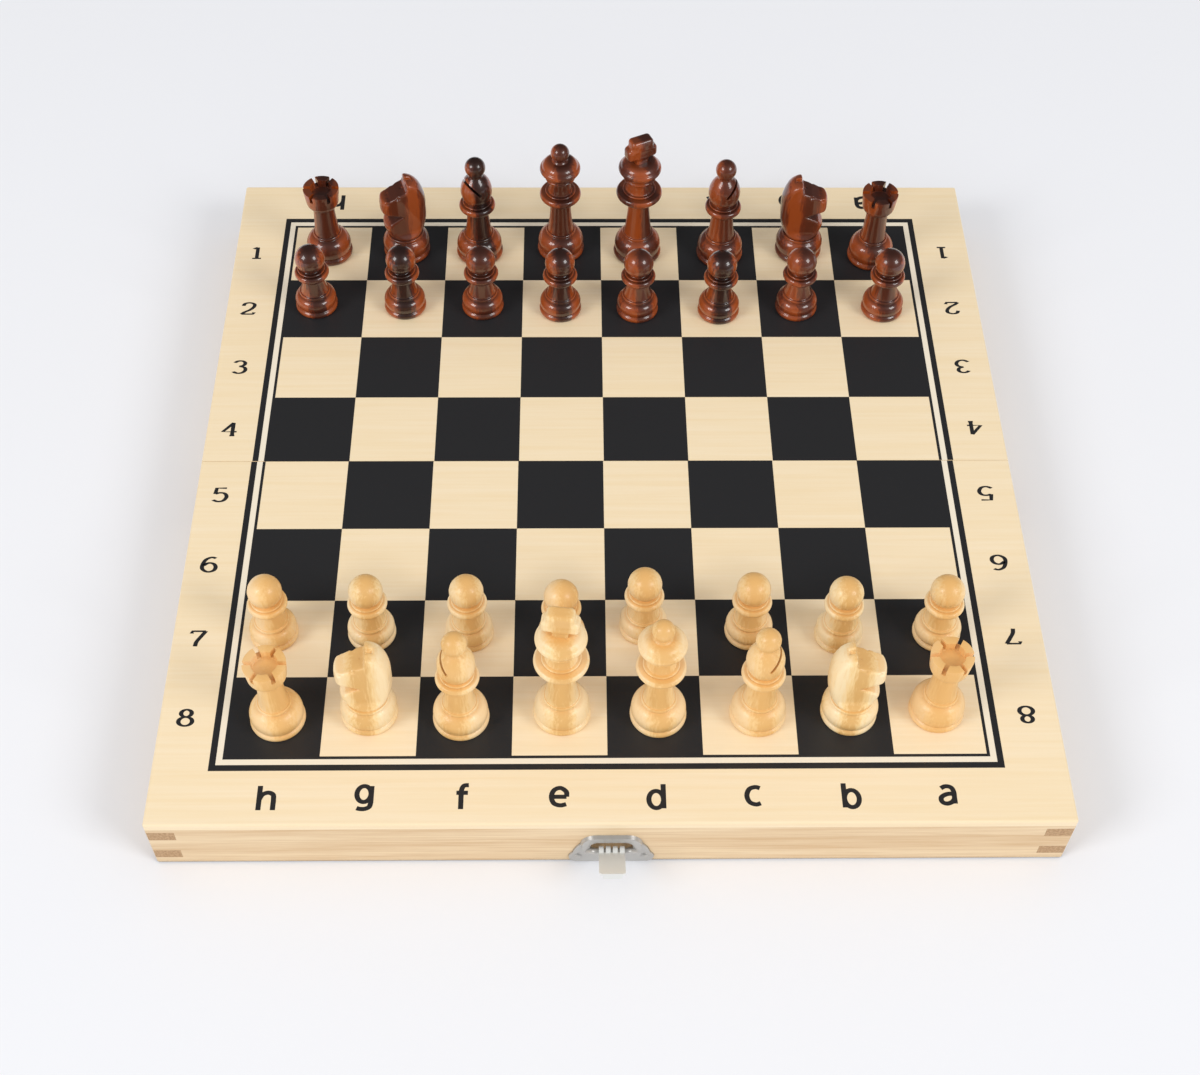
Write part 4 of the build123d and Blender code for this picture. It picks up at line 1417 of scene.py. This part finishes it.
# how far each man stands from the middle of its square, right and away from the clasp in mm,
# its turn in degrees and its warmth of colour
setting = {
    "light_rook_h8": (0.6, -0.5, 0, 0.5), "light_knight_g8": (-0.6, 1.7, 184, 0.1),
    "light_bishop_f8": (-1.5, -0.3, 165, 0.3), "light_king_e8": (0.5, 1.6, -8, 0.15),
    "light_queen_d8": (1.0, 0.6, 0, 0.3), "light_bishop_c8": (2.7, 0.7, 0, 0.35),
    "light_knight_b8": (1.7, 1.0, 0, 0.05), "light_rook_a8": (-0.2, 1.7, 0, 0.6),
    "light_pawn_h7": (-3.9, 2.1, 0, 0.45), "light_pawn_g7": (-1.9, 2.0, 0, 0.1),
    "light_pawn_f7": (0.1, 1.9, 0, 0.2), "light_pawn_e7": (0.3, -0.2, 0, 0.4),
    "light_pawn_d7": (-3.0, 4.4, 0, 0.25), "light_pawn_c7": (1.7, 2.3, 0, 0.3),
    "light_pawn_b7": (1.2, 0.7, 0, 0.05), "light_pawn_a7": (3.6, 1.3, 0, 0.3),
    "dark_pawn_h2": (-3.0, 2.0, 0, 0.2), "dark_pawn_g2": (0.6, 1.5, 0, 0.1),
    "dark_pawn_f2": (0, 1.2, 0, 0.3), "dark_pawn_e2": (-0.6, 0, 0, 0.15),
    "dark_pawn_d2": (-1.5, -0.4, 0, 0.35), "dark_pawn_c2": (-0.7, -1.2, 0, 0.1),
    "dark_pawn_b2": (-1.1, 0.4, 0, 0.4), "dark_pawn_a2": (1.6, -0.2, 0, 0.3),
    "dark_rook_h1": (-0.4, 1.0, 0, 0.3), "dark_knight_g1": (-0.4, 1.9, 198, 0.4),
    "dark_bishop_f1": (-2.1, 1.1, 210, 0.1), "dark_queen_e1": (-0.5, 2.8, 0, 0.3),
    "dark_king_d1": (-0.8, 1.1, 25, 0.35), "dark_bishop_c1": (1.3, -0.1, -4, 0.4),
    "dark_knight_b1": (2.2, 1.9, 0, 0.4), "dark_rook_a1": (0, -1.6, 0, 0.3),
}


def standMan(node, stand):
    colour, kind, spot = node.split("_")
    shiftX, shiftY, turn, warmth = stand
    rank = int(spot[1])
    mesh = meshes[kind].copy()
    mesh.name = node
    count = len(mesh.vertices)
    fromFoot = mesh.attributes.new("fromFoot", "FLOAT_VECTOR", "POINT")
    coordinates = [0.0] * (3 * count)
    mesh.vertices.foreach_get("co", coordinates)
    fromFoot.data.foreach_set("vector", coordinates)
    mesh.attributes.new("tone", "FLOAT", "POINT").data.foreach_set("value", [warmth] * count)
    x = fileAt(spot[0]) + printing["shift"] + shiftX
    y = (rowsPerHalf + 0.5 - rank) * printing["square"] + shiftY
    foot = Matrix.Translation(Vector((x, y, printing["top"])) * mm)
    place = foot @ Matrix.Rotation(math.radians(turn), 4, "Z")
    mesh.transform(place)
    mesh.materials.clear()
    mesh.materials.append(menWood[colour])
    piece = putOut(mesh, f"{colour}{kind.capitalize()}_{spot}", node)
    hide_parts(node)


for node, stand in setting.items():
    standMan(node, stand)
print("chessmen set up")
